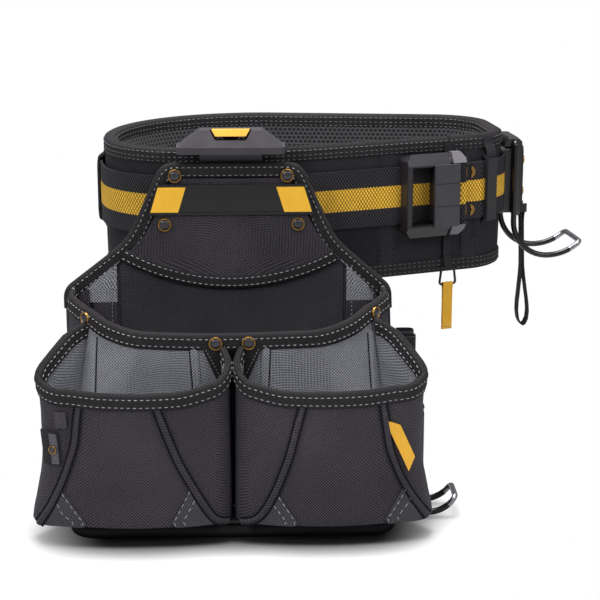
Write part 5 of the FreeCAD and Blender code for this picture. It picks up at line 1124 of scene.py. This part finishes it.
# ---------------------------------------------------------------------------------------------
# Label panel. A second layer of ballistic nylon over the panel's neck, hemmed below along a
# curve with a folded band and two rows of stitches.
HEM_RADIUS = 188.76
HEM_CENTRE = 184.5 + HEM_RADIUS
label_plan = panel_plan(-11.0)
rows = []
for i in range(40):
    z = 185.3 + 92.4 * (i / 39) ** 1.35
    hem_half = math.sqrt(max(HEM_RADIUS ** 2 - (HEM_CENTRE - z) ** 2, 0.0)) - 0.4
    left, right = span_at(label_plan, z)
    left, right = max(left, -hem_half, -120.0), min(right, hem_half, 120.0)
    rows.append([POUCH @ Vector((left + (right - left) * u / 28, -8.2 - 0.5 * (1 - (u / 14 - 1) ** 2), z))
                 for u in range(29)])
cloth("label_facing", rows, 1.0, "pouch", ballistic, ["label_panel"])

hem_turn = []
for i in range(49):
    turn = math.radians(-90 - 29.6 + 59.2 * i / 48)
    left, right = span_at(label_plan, HEM_CENTRE + HEM_RADIUS * math.sin(turn))
    if left < HEM_RADIUS * math.cos(turn) < right:
        hem_turn.append(turn)


def hem_line(inset, y):
    """The hem's curve, moved in from the panel's lower edge, at a depth."""
    r = HEM_RADIUS - inset
    return [POUCH @ Vector((r * math.cos(a), y, HEM_CENTRE + r * math.sin(a))) for a in hem_turn]


section = [(10.4, -9.2), (10.0, -9.8), (7.8, -10.1), (5.4, -9.9), (3.0, -10.1), (0.8, -9.8), (-0.1, -8.9),
           (-0.1, -7.4), (0.6, -6.7), (3.0, -6.6)]
cloth("label_facing_hem", [hem_line(inset, y) for inset, y in section], 0.6, "pouch",
      tape_weave, ["label_hem"])
sew("label_facing_stitches", [(hem_line(inset, -10.4), [front_way] * len(hem_turn)) for inset in (2.4, 8.4)],
    "pouch")

# ---------------------------------------------------------------------------------------------
# Label plate. A glossy injection-moulded plate with a raised rib above and below, left bare in
# the middle, and a yellow insert pressed in at each end.
plate_gloss = moulded("gloss_abs_plate", "#0e0d0f", 0.24, grain=0.3, coat=0.1, lift=0.08)
insert_yellow = moulded("yellow_abs_insert", "#f7bc2c", 0.35, grain=0.3, spread=0.05, coat=0.15, lift=0.1)
finish_nodes(plate_gloss, "label_plate")
finish_nodes(insert_yellow, "label_inserts")

# ---------------------------------------------------------------------------------------------
# Clip. Moulded in charcoal glass-filled nylon with a spark-eroded texture; the release button is
# yellow acetal.
clip_nylon = moulded("glass_filled_nylon_grey", "#3b383d", 0.40, grain=0.35)
button_acetal = moulded("yellow_acetal_button", "#ecad3c", 0.36, grain=0.25, spread=0.05, lift=0.15)
finish_nodes(clip_nylon, "clip_body")
finish_nodes(button_acetal, "clip_button")

# ---------------------------------------------------------------------------------------------
# Main pocket. One piece of grey 1680-denier nylon, bowed in front and closed on the panel at
# both sides, with a floor. Its cloth is coated, so it holds its shape and shows few folds.


def main_plan(half, side_y, corner, front_y, bow, bulge, inset, shift=0.0):
    """Plan of the main pocket at one height: from the panel round the front to the panel."""
    half, front_y, corner = half - inset, front_y + inset, max(corner - inset, 2.0)
    side, turn = Vector((half, side_y)), Vector((half - corner, front_y + bow))
    middle = (side + turn) / 2
    knee = middle + (Vector((side.x, turn.y)) - middle) * bulge
    right = arc(turn, knee, side, 16) + line(side, (half, -6.0), 7)[1:]
    front = arc((-turn.x, turn.y), (0, front_y), turn, 33)
    left = [(-x, y) for x, y in reversed(right)]
    return [Vector((x + shift, y)) for x, y in left + front[1:-1] + right]


def main_at(i, z, inset=0.0):
    """Point i of the main pocket's wall at a height."""
    portion = (z - FOOT_Z) / (190.0 - FOOT_Z)
    low, high = main_plans[inset]
    return low[i].lerp(high[i], portion)


main_plans = {inset: (main_plan(140.0, -62.0, 20.0, -84.0, 2.0, 0.41, inset),
                      main_plan(131.5, -24.0, 70.0, -91.0, 5.0, 0.17, inset, -3.0))
              for inset in (0.0, 1.5)}
ROUND_MAIN = len(main_plans[0.0][0])


def height_on(marks, y):
    """A height read off a bent line of depths and heights, level beyond its ends."""
    if y <= marks[0][0]:
        return marks[0][1]
    for (y0, z0), (y1, z1) in zip(marks, marks[1:]):
        if y <= y1:
            return z0 + (z1 - z0) * (y - y0) / (y1 - y0)
    return marks[-1][1]


MAIN_LIP = [(-91.0, 165.0), (-80.0, 167.0), (-66.0, 171.5), (-54.0, 177.0), (-35.0, 181.0), (-6.0, 185.0),
            (10.0, 186.0)]


def main_lip_at(i):
    """Height of the main pocket's lip at point i: level in front, rising to the shoulders."""
    z = MAIN_LIP[0][1]
    for _ in range(5):
        z = height_on(MAIN_LIP, main_at(i, z).y)
    return z


def main_point(i, z, out):
    """A point off the main pocket's outer face by out mm, in the pouch's millimetres."""
    a, b = main_at(max(i - 1, 0), z), main_at(min(i + 1, ROUND_MAIN - 1), z)
    along = (b - a).normalized()
    p = main_at(i, z) + Vector((along.y, -along.x)) * out
    return p.x, p.y, z


FLOOR_UP, WALL_FOOT, LIP_DROP = 17.6, 18.0, 0.4
main_lips = [main_lip_at(i) for i in range(ROUND_MAIN)]
foot_ring = [main_at(i, FOOT_Z, 1.5) for i in range(ROUND_MAIN)]
rows = [[pouch_at(p.x * k, -6 + (p.y + 6) * k, FLOOR_UP) for p in foot_ring] for k in (0.03, 0.35, 0.7, 0.93)]
for j in range(26):
    rows.append([pouch_at(*main_point(i, WALL_FOOT + (main_lips[i] - WALL_FOOT - LIP_DROP) * j / 25, -1.5))
                 for i in range(ROUND_MAIN)])
main = cloth("main_pocket_cloth", rows, 2.4, "pouch", grey_nylon, ["main_pocket"])
main.data.materials.append(ballistic)

# ---------------------------------------------------------------------------------------------
# Main lip binding. The same tape folded over the main pocket's lip, sewn twice, and a rivet on
# each side of the seam between the lower pockets.
LIP_SECTION = [(12.0, 0.5), (11.3, 0.95), (8.8, 1.2), (6.0, 1.0), (3.4, 1.25), (1.0, 1.0), (-0.6, 0.3),
               (-1.1, -0.9), (-1.1, -2.1), (-0.6, -3.3), (1.0, -4.0), (3.4, -4.2), (6.0, -4.0), (8.8, -4.2),
               (11.3, -3.95), (12.0, -3.5)]
LIP_ROWS = [(3.0, 1.55), (9.4, 1.55), (3.0, -4.55), (9.4, -4.55)]
lip_span = [i for i in range(ROUND_MAIN) if main_at(i, 170).y < -11.0]
rows = [[pouch_at(*main_point(i, main_lips[i] - drop, out)) for i in lip_span] for drop, out in LIP_SECTION]
cloth("main_lip_tape", rows, 0.7, "pouch", tape_weave, ["main_lip_binding"])


def off_wall(point, i, z, out):
    """The way out of a pocket's wall at its point i; point is the pocket's own function."""
    here, there = Vector(point(i, z, 0.0)), Vector(point(i, z, out))
    return pouch_way(*(there - here))


runs = [([pouch_at(*main_point(i, main_lips[i] - drop, out)) for i in lip_span],
         [off_wall(main_point, i, 160.0, out) for i in lip_span]) for drop, out in LIP_ROWS]
sew("main_lip_stitches", runs, "pouch")

# ---------------------------------------------------------------------------------------------
# Felled seams. Where the lower pockets' gussets are sewn to the main front the edge is folded in
# and stitched down, inside each lower pocket near both of its ends.


def main_front_at(x, z, out):
    """A point over the main pocket's front, above a place in the x-z plane."""
    in_front = [m for m in range(ROUND_MAIN - 1) if main_at(m, z).y < -20]
    i = min(in_front, key=lambda m: abs(main_at(m, z).x - x))
    i, j = (i, i + 1) if (main_at(i + 1, z).x - x) * (main_at(i, z).x - x) <= 0 else (i - 1, i)
    a, b = Vector(main_point(i, z, out)), Vector(main_point(j, z, out))
    return a.lerp(b, (x - a.x) / (b.x - a.x))


# Painted shade: flat black strips laid beside the seams' folds and in the slit between the lower pockets,
# where shade falls.
painted_shade_strip = woven("black_painted_shade_strip", "#040405", "#1a191b", 1.6, rough=0.85)
FELLED = [(-110.0, -112.0, -5.5), (-34.0, -30.5, 6.0), (30.5, 28.0, -6.0), (111.5, 114.0, 5.5)]
runs = []
for n, (top, foot, wide) in enumerate(FELLED):
    def strip(portion, k, out):
        """A point of the folded edge: a portion of its width across it, k tenths of the way up."""
        return main_front_at(foot + (top - foot) * k / 10 + wide * portion, 108.0 + 50.0 * k / 10, out)

    rows = [[pouch_at(*strip(u / 4, k, 0.5 + 0.6 * math.sin(math.pi * u / 4))) for u in range(5)]
            for k in range(11)]
    cloth(f"felled_seam_{n + 1}", rows, 0.6, "pouch", grey_nylon)
    spots = [strip(0.6, k, 1.15) for k in range(11)]
    runs.append(([pouch_at(*p) for p in spots],
                 [pouch_way(*(p - strip(0.6, k, 0.0))) for k, p in enumerate(spots)]))
    # A narrow black strip beside each folded edge is painted shadow along the fold.
    rows = [[pouch_at(*strip(u, k, 0.25)) for u in (-0.16, -0.08, 0.0)] for k in range(11)]
    cloth(f"felled_seam_painted_shadow_{n + 1}", rows, 0.3, "pouch", painted_shade_strip)
for side, word in ((-1, "left"), (1, "right")):
    rows = []
    for k in range(9):
        z = 126.0 + 31.0 * k / 8
        near, far = 10.5 - 7.0 * k / 8, 11.5 + 13.5 * k / 8
        rows.append([pouch_at(*main_front_at(side * (near + (far - near) * u / 4), z, 1.6))
                     for u in range(5)])
    cloth(f"gusset_fold_{word}", rows, 0.8, "pouch", tape_weave)
    for near, far in ((9.8, 21.5), (8.0, 8.6)):
        spots = [main_front_at(side * (near + (far - near) * k / 6), 131.0 + 24.0 * k / 6, 2.7)
                 for k in range(7)]
        runs.append(([pouch_at(*p) for p in spots], [front_way] * 7))
# A black strip on the main front between the lower pockets is painted shadow in the slit between them.
rows = [[pouch_at(*main_front_at(-9.0 + 18.0 * u / 6, 20.0 + 134.0 * k / 12, 0.8)) for u in range(7)]
        for k in range(13)]
cloth("centre_painted_shade_strip", rows, 0.6, "pouch", painted_shade_strip)
sew("felled_seam_stitches", runs, "pouch", long=1.7, gap=1.1, wide=0.6)

# ---------------------------------------------------------------------------------------------
# Lower pockets. Two pockets of black ballistic nylon sewn round the main pocket's front corners;
# each has a narrow gusset on both sides and a floor.


def lower_plan(half, back_x, slit, splay):
    """Plan of the right lower pocket: from its inner side round the front to its outer side.

    back_x and splay are where its outer and inner sides would come to at y = -30.
    """
    front = arc((slit + 17.0, -119.5), ((slit + half) / 2, -128.0), (half - 24.0, -119.0), 40)
    inner = line((splay, -30.0), (slit, -101.0), 22)
    inner += arc((slit, -101.0), (slit + 4.6, -113.4), (slit + 17.0, -119.5), 9)[1:-1]
    outer = arc((half - 24.0, -119.0), (half - 7.2, -111.8), (half, -95.0), 11)[1:]
    outer += line((half, -95.0), (back_x, -30.0), 22)[1:]
    return [Vector(p) for p in inner + front + outer]


lower_low, lower_high = lower_plan(163.0, 104.0, 1.0, 1.0), lower_plan(147.5, 104.0, 2.2, 42.0)


def in_main(p, z):
    """True inside the main pocket's outer face, by counting the walls to one side."""
    ring = [main_at(i, z) for i in range(ROUND_MAIN)]
    within = False
    for a, b in zip(ring, ring[1:] + ring[:1]):
        if (a.y > p.y) != (b.y > p.y) and p.x < a.x + (b.x - a.x) * (p.y - a.y) / (b.y - a.y):
            within = not within
    return within or p.y > -6.0


trimmed = {}
ACROSS = 60


def lower_curve(z):
    """The lower pocket's wall at a height, cut off where it meets the main pocket, evenly divided."""
    key = round(z, 1)
    if key not in trimmed:
        portion = (key - FOOT_Z) / (185.0 - FOOT_Z)
        whole = [a.lerp(b, portion) for a, b in zip(lower_low, lower_high)]
        kept = [n for n, p in enumerate(whole) if not in_main(p, key)]
        first, last = kept[0], kept[-1]
        ends = []
        for past, outside in ((first - 1, first), (last + 1, last)):
            a, b = whole[max(0, min(past, len(whole) - 1))], whole[outside]
            for _ in range(12):
                middle = (a + b) / 2
                a, b = (middle, b) if in_main(middle, key) else (a, middle)
            ends.append(b)
        path = [ends[0]] + whole[first:last + 1] + [ends[1]]
        reach = [0.0]
        for a, b in zip(path, path[1:]):
            reach.append(reach[-1] + (b - a).length)
        even, n = [], 0
        for k in range(ACROSS + 1):
            want = reach[-1] * k / ACROSS
            while n < len(path) - 2 and reach[n + 1] < want:
                n += 1
            even.append(path[n].lerp(path[n + 1], (want - reach[n]) / max(reach[n + 1] - reach[n], 1e-9)))
        trimmed[key] = even
    return trimmed[key]


INNER_LIP = [(-200.0, 122.0), (-125.0, 128.0), (-93.0, 158.0), (-20.0, 165.0)]
OUTER_LIP = [(-200.0, 120.0), (-98.0, 130.0), (-56.0, 169.0), (-20.0, 174.0)]


def lower_lip(p):
    """Height of the lower pocket's lip over a point: it rises along both sides to the main lip."""
    inner, outer = height_on(INNER_LIP, p.y), height_on(OUTER_LIP, p.y)
    return inner + (outer - inner) * (p.x + 10.0) / 178.0


def lower_point(side, k, z, out):
    """A point off the right or left lower pocket's outer face, in the pouch's millimetres.

    Its outer side wall flares where it nears the lip.
    """
    curve = lower_curve(z)
    along = (curve[min(k + 1, ACROSS)] - curve[max(k - 1, 0)]).normalized()
    p = curve[k] + Vector((along.y, -along.x)) * out
    flare = 0.0
    if p.x > 70.0:
        flare = 7.0 * ramp(p.y, -104.0, -90.0) * ramp(p.y, -56.0, -66.0)
        flare *= ramp(lower_lips[k] - z, 30.0, 0.0) ** 1.5
    return side * (p.x + flare), p.y, z


lower_lips = []
for k in range(ACROSS + 1):
    z = 125.0
    for _ in range(8):
        z = z * 0.3 + lower_lip(lower_curve(z)[k]) * 0.7
    lower_lips.append(z)


def main_front_point(side, portion, z):
    """A point of the main pocket's front between the two ends of a lower pocket's wall."""
    ends = [lower_curve(z)[0], lower_curve(z)[-1]]
    ring = [main_at(i, z) for i in range(ROUND_MAIN)]
    first = min(range(ROUND_MAIN), key=lambda i: (ring[i] - ends[0]).length)
    last = min(range(ROUND_MAIN), key=lambda i: (ring[i] - ends[1]).length)
    path = [ends[0]] + ring[first + 1:last] + [ends[1]]
    steps = portion * (len(path) - 1)
    n = min(int(steps), len(path) - 2)
    p = path[n].lerp(path[n + 1], steps - n)
    return side * p.x, p.y, z


LIP_RUN = range(1, ACROSS)
for side, word in ((-1, "left"), (1, "right")):
    rows = []
    for t in (0.0, 0.3, 0.65, 0.92):
        row = []
        for k in range(ACROSS + 1):
            back_point = Vector(main_front_point(side, k / ACROSS, FLOOR_UP))
            front_point = Vector(lower_point(side, k, FLOOR_UP, -1.5))
            row.append(pouch_at(*back_point.lerp(front_point, t)))
        rows.append(row)
    for j in range(24):
        heights = [WALL_FOOT + (lip - WALL_FOOT - LIP_DROP) * j / 23 for lip in lower_lips]
        rows.append([pouch_at(*lower_point(side, k, heights[k], -1.5)) for k in range(ACROSS + 1)])
    pocket = cloth(f"lower_pocket_{word}_cloth", rows, 2.4, "pouch", ballistic,
                   [f"lower_pocket_{word}"])
    # Inside it is lined with the grey cloth.
    pocket.data.materials.append(grey_nylon)
    centre = POUCH @ Vector((side * 75.0, -98.0, 90.0))
    for face in pocket.data.polygons:
        middle = face.center
        inwards = Vector((centre.x, centre.y, middle.z)) - middle
        if middle.z > centre.z - 0.065 and face.normal.dot(inwards) > 0:
            face.material_index = 1
    rows = [[pouch_at(*lower_point(side, k, lower_lips[k] - drop, out)) for k in LIP_RUN]
            for drop, out in LIP_SECTION]
    cloth(f"lower_lip_{word}_tape", rows, 0.7, "pouch", tape_weave,
          [f"lower_binding_{word}"])
    runs = []
    for drop, out in LIP_ROWS:
        runs.append(([pouch_at(*lower_point(side, k, lower_lips[k] - drop, out)) for k in LIP_RUN],
                     [off_wall(lambda i, z, off: lower_point(side, i, z, off), k, lower_lips[k] - drop, out)
                      for k in LIP_RUN]))
    sew(f"lower_lip_{word}_stitches", runs, "pouch")

# The main pocket is black outside, too, where its side walls come out behind the lower pockets.
back_to_mm = POUCH.inverted()
for face in main.data.polygons:
    spot = back_to_mm @ face.center
    end = lower_curve(min(max(spot.z, 17.0), 176.0))[-1]
    hem = end.y - (0.034 * spot.z if spot.x < 0 else 0.0)
    outwards = face.center - POUCH @ Vector((0, -45.0, spot.z))
    if spot.y > hem and abs(spot.x) > 60 and face.normal.dot(outwards) > 0:
        face.material_index = 1

# ---------------------------------------------------------------------------------------------
# Corded seams. Where the front of a lower pocket meets its gussets the seam is bound over a cord in
# the front's own cloth; it stands up as a ridge, and a black strip along each side is painted shadow of its
# crease.


def front_at(side, x, z, out):
    """A point over a lower pocket's front, above a place in the x-z plane."""
    curve = lower_curve(z)
    best = None
    for n in range(ACROSS):
        a, b = curve[n], curve[n + 1]
        if min(a.x, b.x) <= x <= max(a.x, b.x) and abs(a.x - b.x) > 1e-6:
            p = a.lerp(b, (x - a.x) / (b.x - a.x))
            if best is None or p.y < best[0].y:
                best = (p, (b - a).normalized())
    if best is None:
        best = (curve[-1] if x > 100 else curve[0], Vector((0, 1)))
    p, along = best
    p = p + Vector((along.y, -along.x)) * out
    return side * p.x, p.y, z


def divided(corners, step):
    """Points about a step apart along a bent line."""
    points = []
    for a, b in zip(corners, corners[1:]):
        a, b = Vector(a), Vector(b)
        count = max(1, round((b - a).length / step))
        points += [a.lerp(b, n / count) for n in range(count)]
    return points + [Vector(corners[-1])]


SEAMS = {("left", "outer"): [(120.5, 117), (125, 86), (136, 60), (143, 43), (150, 26), (155, 17)],
         ("left", "inner"): [(59.5, 117), (51.5, 94), (43.5, 72), (34, 53), (24.5, 35), (17, 23), (11, 18),
                             (5, 17)],
         ("right", "outer"): [(118.5, 117), (125, 81), (135, 58), (142, 45), (150, 30), (156, 19)],
         ("right", "inner"): [(55, 117), (50, 98), (45, 77), (39, 59), (33, 43), (26, 29), (19, 20), (7, 17)]}
RIDGES = [(-2.7, -0.5), (-2.3, 0.9), (-1.4, 2.1), (0.0, 2.6), (1.4, 2.1), (2.3, 0.9), (2.7, -0.5)]


def over_front(side, p, out, way_only=False):
    """A point over a lower pocket's front, or the way out of the cloth there."""
    spot = Vector(front_at(side, p.x, p.y, out))
    return pouch_way(*(spot - Vector(front_at(side, p.x, p.y, 0.0)))) if way_only else pouch_at(*spot)


for order, ((word, which), corners) in enumerate(SEAMS.items()):
    side = -1 if word == "left" else 1
    path = divided(corners, 3.0)
    smooth = [path[0]]
    for n in range(1, len(path) - 1):
        near = [path[m] for m in range(max(n - 2, 0), min(n + 3, len(path)))]
        smooth.append(sum(near, Vector((0, 0))) / len(near))
    smooth.append(path[-1])
    aside = []
    for n in range(len(smooth)):
        along = (smooth[min(n + 1, len(smooth) - 1)] - smooth[max(n - 1, 0)]).normalized()
        aside.append(Vector((-along.y, along.x)))
    rows = [[over_front(side, p + q * across, rise * min(1.0, 0.2 + n / 6))
             for n, (p, q) in enumerate(zip(smooth, aside))] for across, rise in RIDGES]
    cloth(f"corded_seam_{word}_{which}", rows, 0.7, "pouch", ballistic,
          ["piping"] if order == 0 else ())
    # Black strips beside the ridge are painted shadow where the crease along each side falls into shade.
    for n, across in enumerate((-3.1, 3.1)):
        rows = [[over_front(side, p + q * (across + w), 1.15) for p, q in zip(smooth, aside)]
                for w in (-0.75, 0, 0.75)]
        cloth(f"seam_crease_{word}_{which}_{n + 1}", rows, 0.5, "pouch", painted_shade_strip)

# ---------------------------------------------------------------------------------------------
# Corner patches. Wear patches of a closer, dark grey nylon at the feet of the corded seams, each
# sewn down with two light rows that turn in at its foot.
patch_weave = woven("dark_grey_wear_patch", "#151418", "#5b585f", 1.5, rough=0.65, blotch=0.12, lift=0.6)
PATCHES = {("left", "outer"): [(117, 20.5), (139, 48), (155, 17), (119, 17)],
           ("left", "inner"): [(49.5, 21.5), (32.5, 49), (15, 17), (46.5, 17)],
           ("right", "outer"): [(121, 21.5), (140.5, 49), (156, 17), (123.5, 17)],
           ("right", "inner"): [(52, 20), (35.5, 44.5), (15, 17), (49, 17)]}
ROWS = {("left", "outer"): [[(138.5, 45), (119, 21), (120.5, 17)],
                            [(142, 36.5), (137, 27.5), (127, 21), (127.5, 17)]],
        ("left", "inner"): [[(34, 47.5), (47.8, 21.3), (45, 17)],
                            [(30.5, 39.3), (40.7, 21), (37.5, 17)]],
        ("right", "outer"): [[(140, 46), (139, 42), (123, 21), (125.5, 17)],
                             [(144, 40), (143.5, 35), (131, 22), (133, 17)]],
        ("right", "inner"): [[(36, 42), (50, 20.2), (47.5, 17)],
                             [(32.3, 34.3), (43, 20), (40, 17)]]}
runs = []
for order, ((word, which), corners) in enumerate(PATCHES.items()):
    side = -1 if word == "left" else 1
    a, b, c, d = (Vector(p) for p in corners)
    rows = [[over_front(side, d.lerp(a, i / 8).lerp(c.lerp(b, i / 8), n / 10), 0.7) for n in range(11)]
            for i in range(9)]
    cloth(f"corner_patch_{word}_{which}", rows, 0.8, "pouch", patch_weave,
          ["corner_patches"] if order == 0 else ())
    for bent_row in ROWS[word, which]:
        path = divided(bent_row, 1.5)
        runs.append(([over_front(side, p, 1.2) for p in path],
                     [over_front(side, p, 1.2, way_only=True) for p in path]))
sew("corner_patch_stitches", runs, "pouch", long=4.6, gap=0.8, wide=0.8)

# ---------------------------------------------------------------------------------------------
# Bottom board. A stiff sheet of black HDPE, die cut and sewn in under the pockets' floors; it has a
# coarse grain and a waxy gleam.
hdpe = moulded("black_hdpe_board", "#121113", 0.5, grain=0.6, lift=0.3)
finish_nodes(hdpe, "base_panel")

# ---------------------------------------------------------------------------------------------
# Tape tab and side label. On the left pocket's corner a stiffened tab, folded and riveted, takes
# a tape measure's clip; on the right pocket's corner there is a bare moulded label.
# Stiffened cloth: mid grey, rubbed by the clip until its weave is nearly flat.
tab_grey = woven("stiffened_tab_cloth", "#2f2e32", "#6f6e74", 1.1, turn=0, rough=0.6, blotch=0.2, lift=0.2)
TAB_LOW = 68.5
tab_line = [(138.6, 1.2), (141.0, 1.5), (144.0, 2.1), (147.0, 3.0), (149.0, 3.2), (150.8, 3.2), (152.0, 2.6),
            (152.6, 1.8), (152.6, 0.9)]
rows = [[pouch_at(*front_at(-1, x, TAB_LOW + 26.5 * i / 8, out)) for x, out in tab_line] for i in range(9)]
cloth("tape_tab_cloth", rows, 1.2, "pouch", strap_weave, ["tape_tab"])
tab_face = [(139.8, 2.2), (142.5, 2.6), (145.4, 3.3)]
rows = [[pouch_at(*front_at(-1, x, TAB_LOW + 0.8 + 24.9 * i / 8, out)) for x, out in tab_face]
        for i in range(9)]
cloth("tape_tab_face", rows, 0.5, "pouch", tab_grey)
rows = [[pouch_at(*front_at(-1, 130.5 + 9.5 * n / 4, 99.5 + 13.0 * i / 5, 1.3)) for n in range(5)]
        for i in range(6)]
cloth("tape_tab_strap", rows, 1.4, "pouch", patch_weave)
label_rubber = moulded("yellow_moulded_label", "#f0b430", 0.5, grain=0.5, spread=0.06, lift=0.3)
finish_nodes(label_rubber, "side_label")

# ---------------------------------------------------------------------------------------------
# Tool loops. Two loops of black elastic, each sewn down at both ends on the pocket's right side, for
# a pencil or a nail set.
for n, y in enumerate((-34.0, -17.0)):
    path = [(138.6, -6.4), (144.0, -6.7), (149.6, -6.5), (151.9, -4.6), (152.4, 0.0), (151.9, 4.6),
            (149.6, 6.5), (144.0, 6.7), (138.6, 6.4)]
    rows = [[POUCH @ Vector((x, y + off, 113.0 + 36.0 * i / 7)) for x, off in path] for i in range(8)]
    cloth(f"elastic_loop_{n + 1}", rows, 1.3, "pouch", strap_weave,
          ["tool_loops"] if n == 0 else ())

# ---------------------------------------------------------------------------------------------
# Pouch rivets. Four hold the clip to the panel and two the lip, smaller ones hold the side hook's
# bracket and the tape tab, and one more closes each end of the main lip.
places = [(POUCH @ Vector((x, -8.9, z)), front_way, 11.2) for x, z in
          ((-46.5, 280.0), (46.5, 280.0), (-55.5, 239.0), (55.5, 239.0))]
places += [(pouch_at(x, -91.2, 159.0), front_way, 11.0) for x in (-13.2, 13.2)]
set_rivets("pouch_rivet_set", places, "pouch", ["pouch_rivets"])
side_way = pouch_way(1, 0, 0)
places = [(POUCH @ Vector((141.2, -47.5, 92.0 + dz)), side_way, 6.8) for dz in (-11.5, 11.5)]
tab_spot = Vector((143.6, 81.0))
places.append((over_front(-1, tab_spot, 3.0), over_front(-1, tab_spot, 3.0, way_only=True), 7.2))
set_rivets("small_rivet_set", places, "pouch", ["small_rivets"])
places = []
for x in (-118.0, 117.0):
    in_front = [m for m in lip_span if main_at(m, 172).y < -40]
    i = min(in_front, key=lambda m: abs(main_at(m, 172).x - x))
    places.append((pouch_at(*main_point(i, main_lips[i] - 6.5, 1.4)),
                   off_wall(main_point, i, 165.0, 1.4), 10.6))
set_rivets("lip_end_rivets", places, "pouch", ())

# ---------------------------------------------------------------------------------------------
# Stand sleeve. A length of extruded rubber tube pushed over the front of the wire stand, so that
# it doesn't slip; it is matt and nearly black.
sleeve_rubber = moulded("extruded_epdm_tube", "#131214", 0.7, grain=0.7, lift=0.4)
finish_nodes(sleeve_rubber, "stand_sleeve")
bpy.data.objects.remove(pattern_rivet)
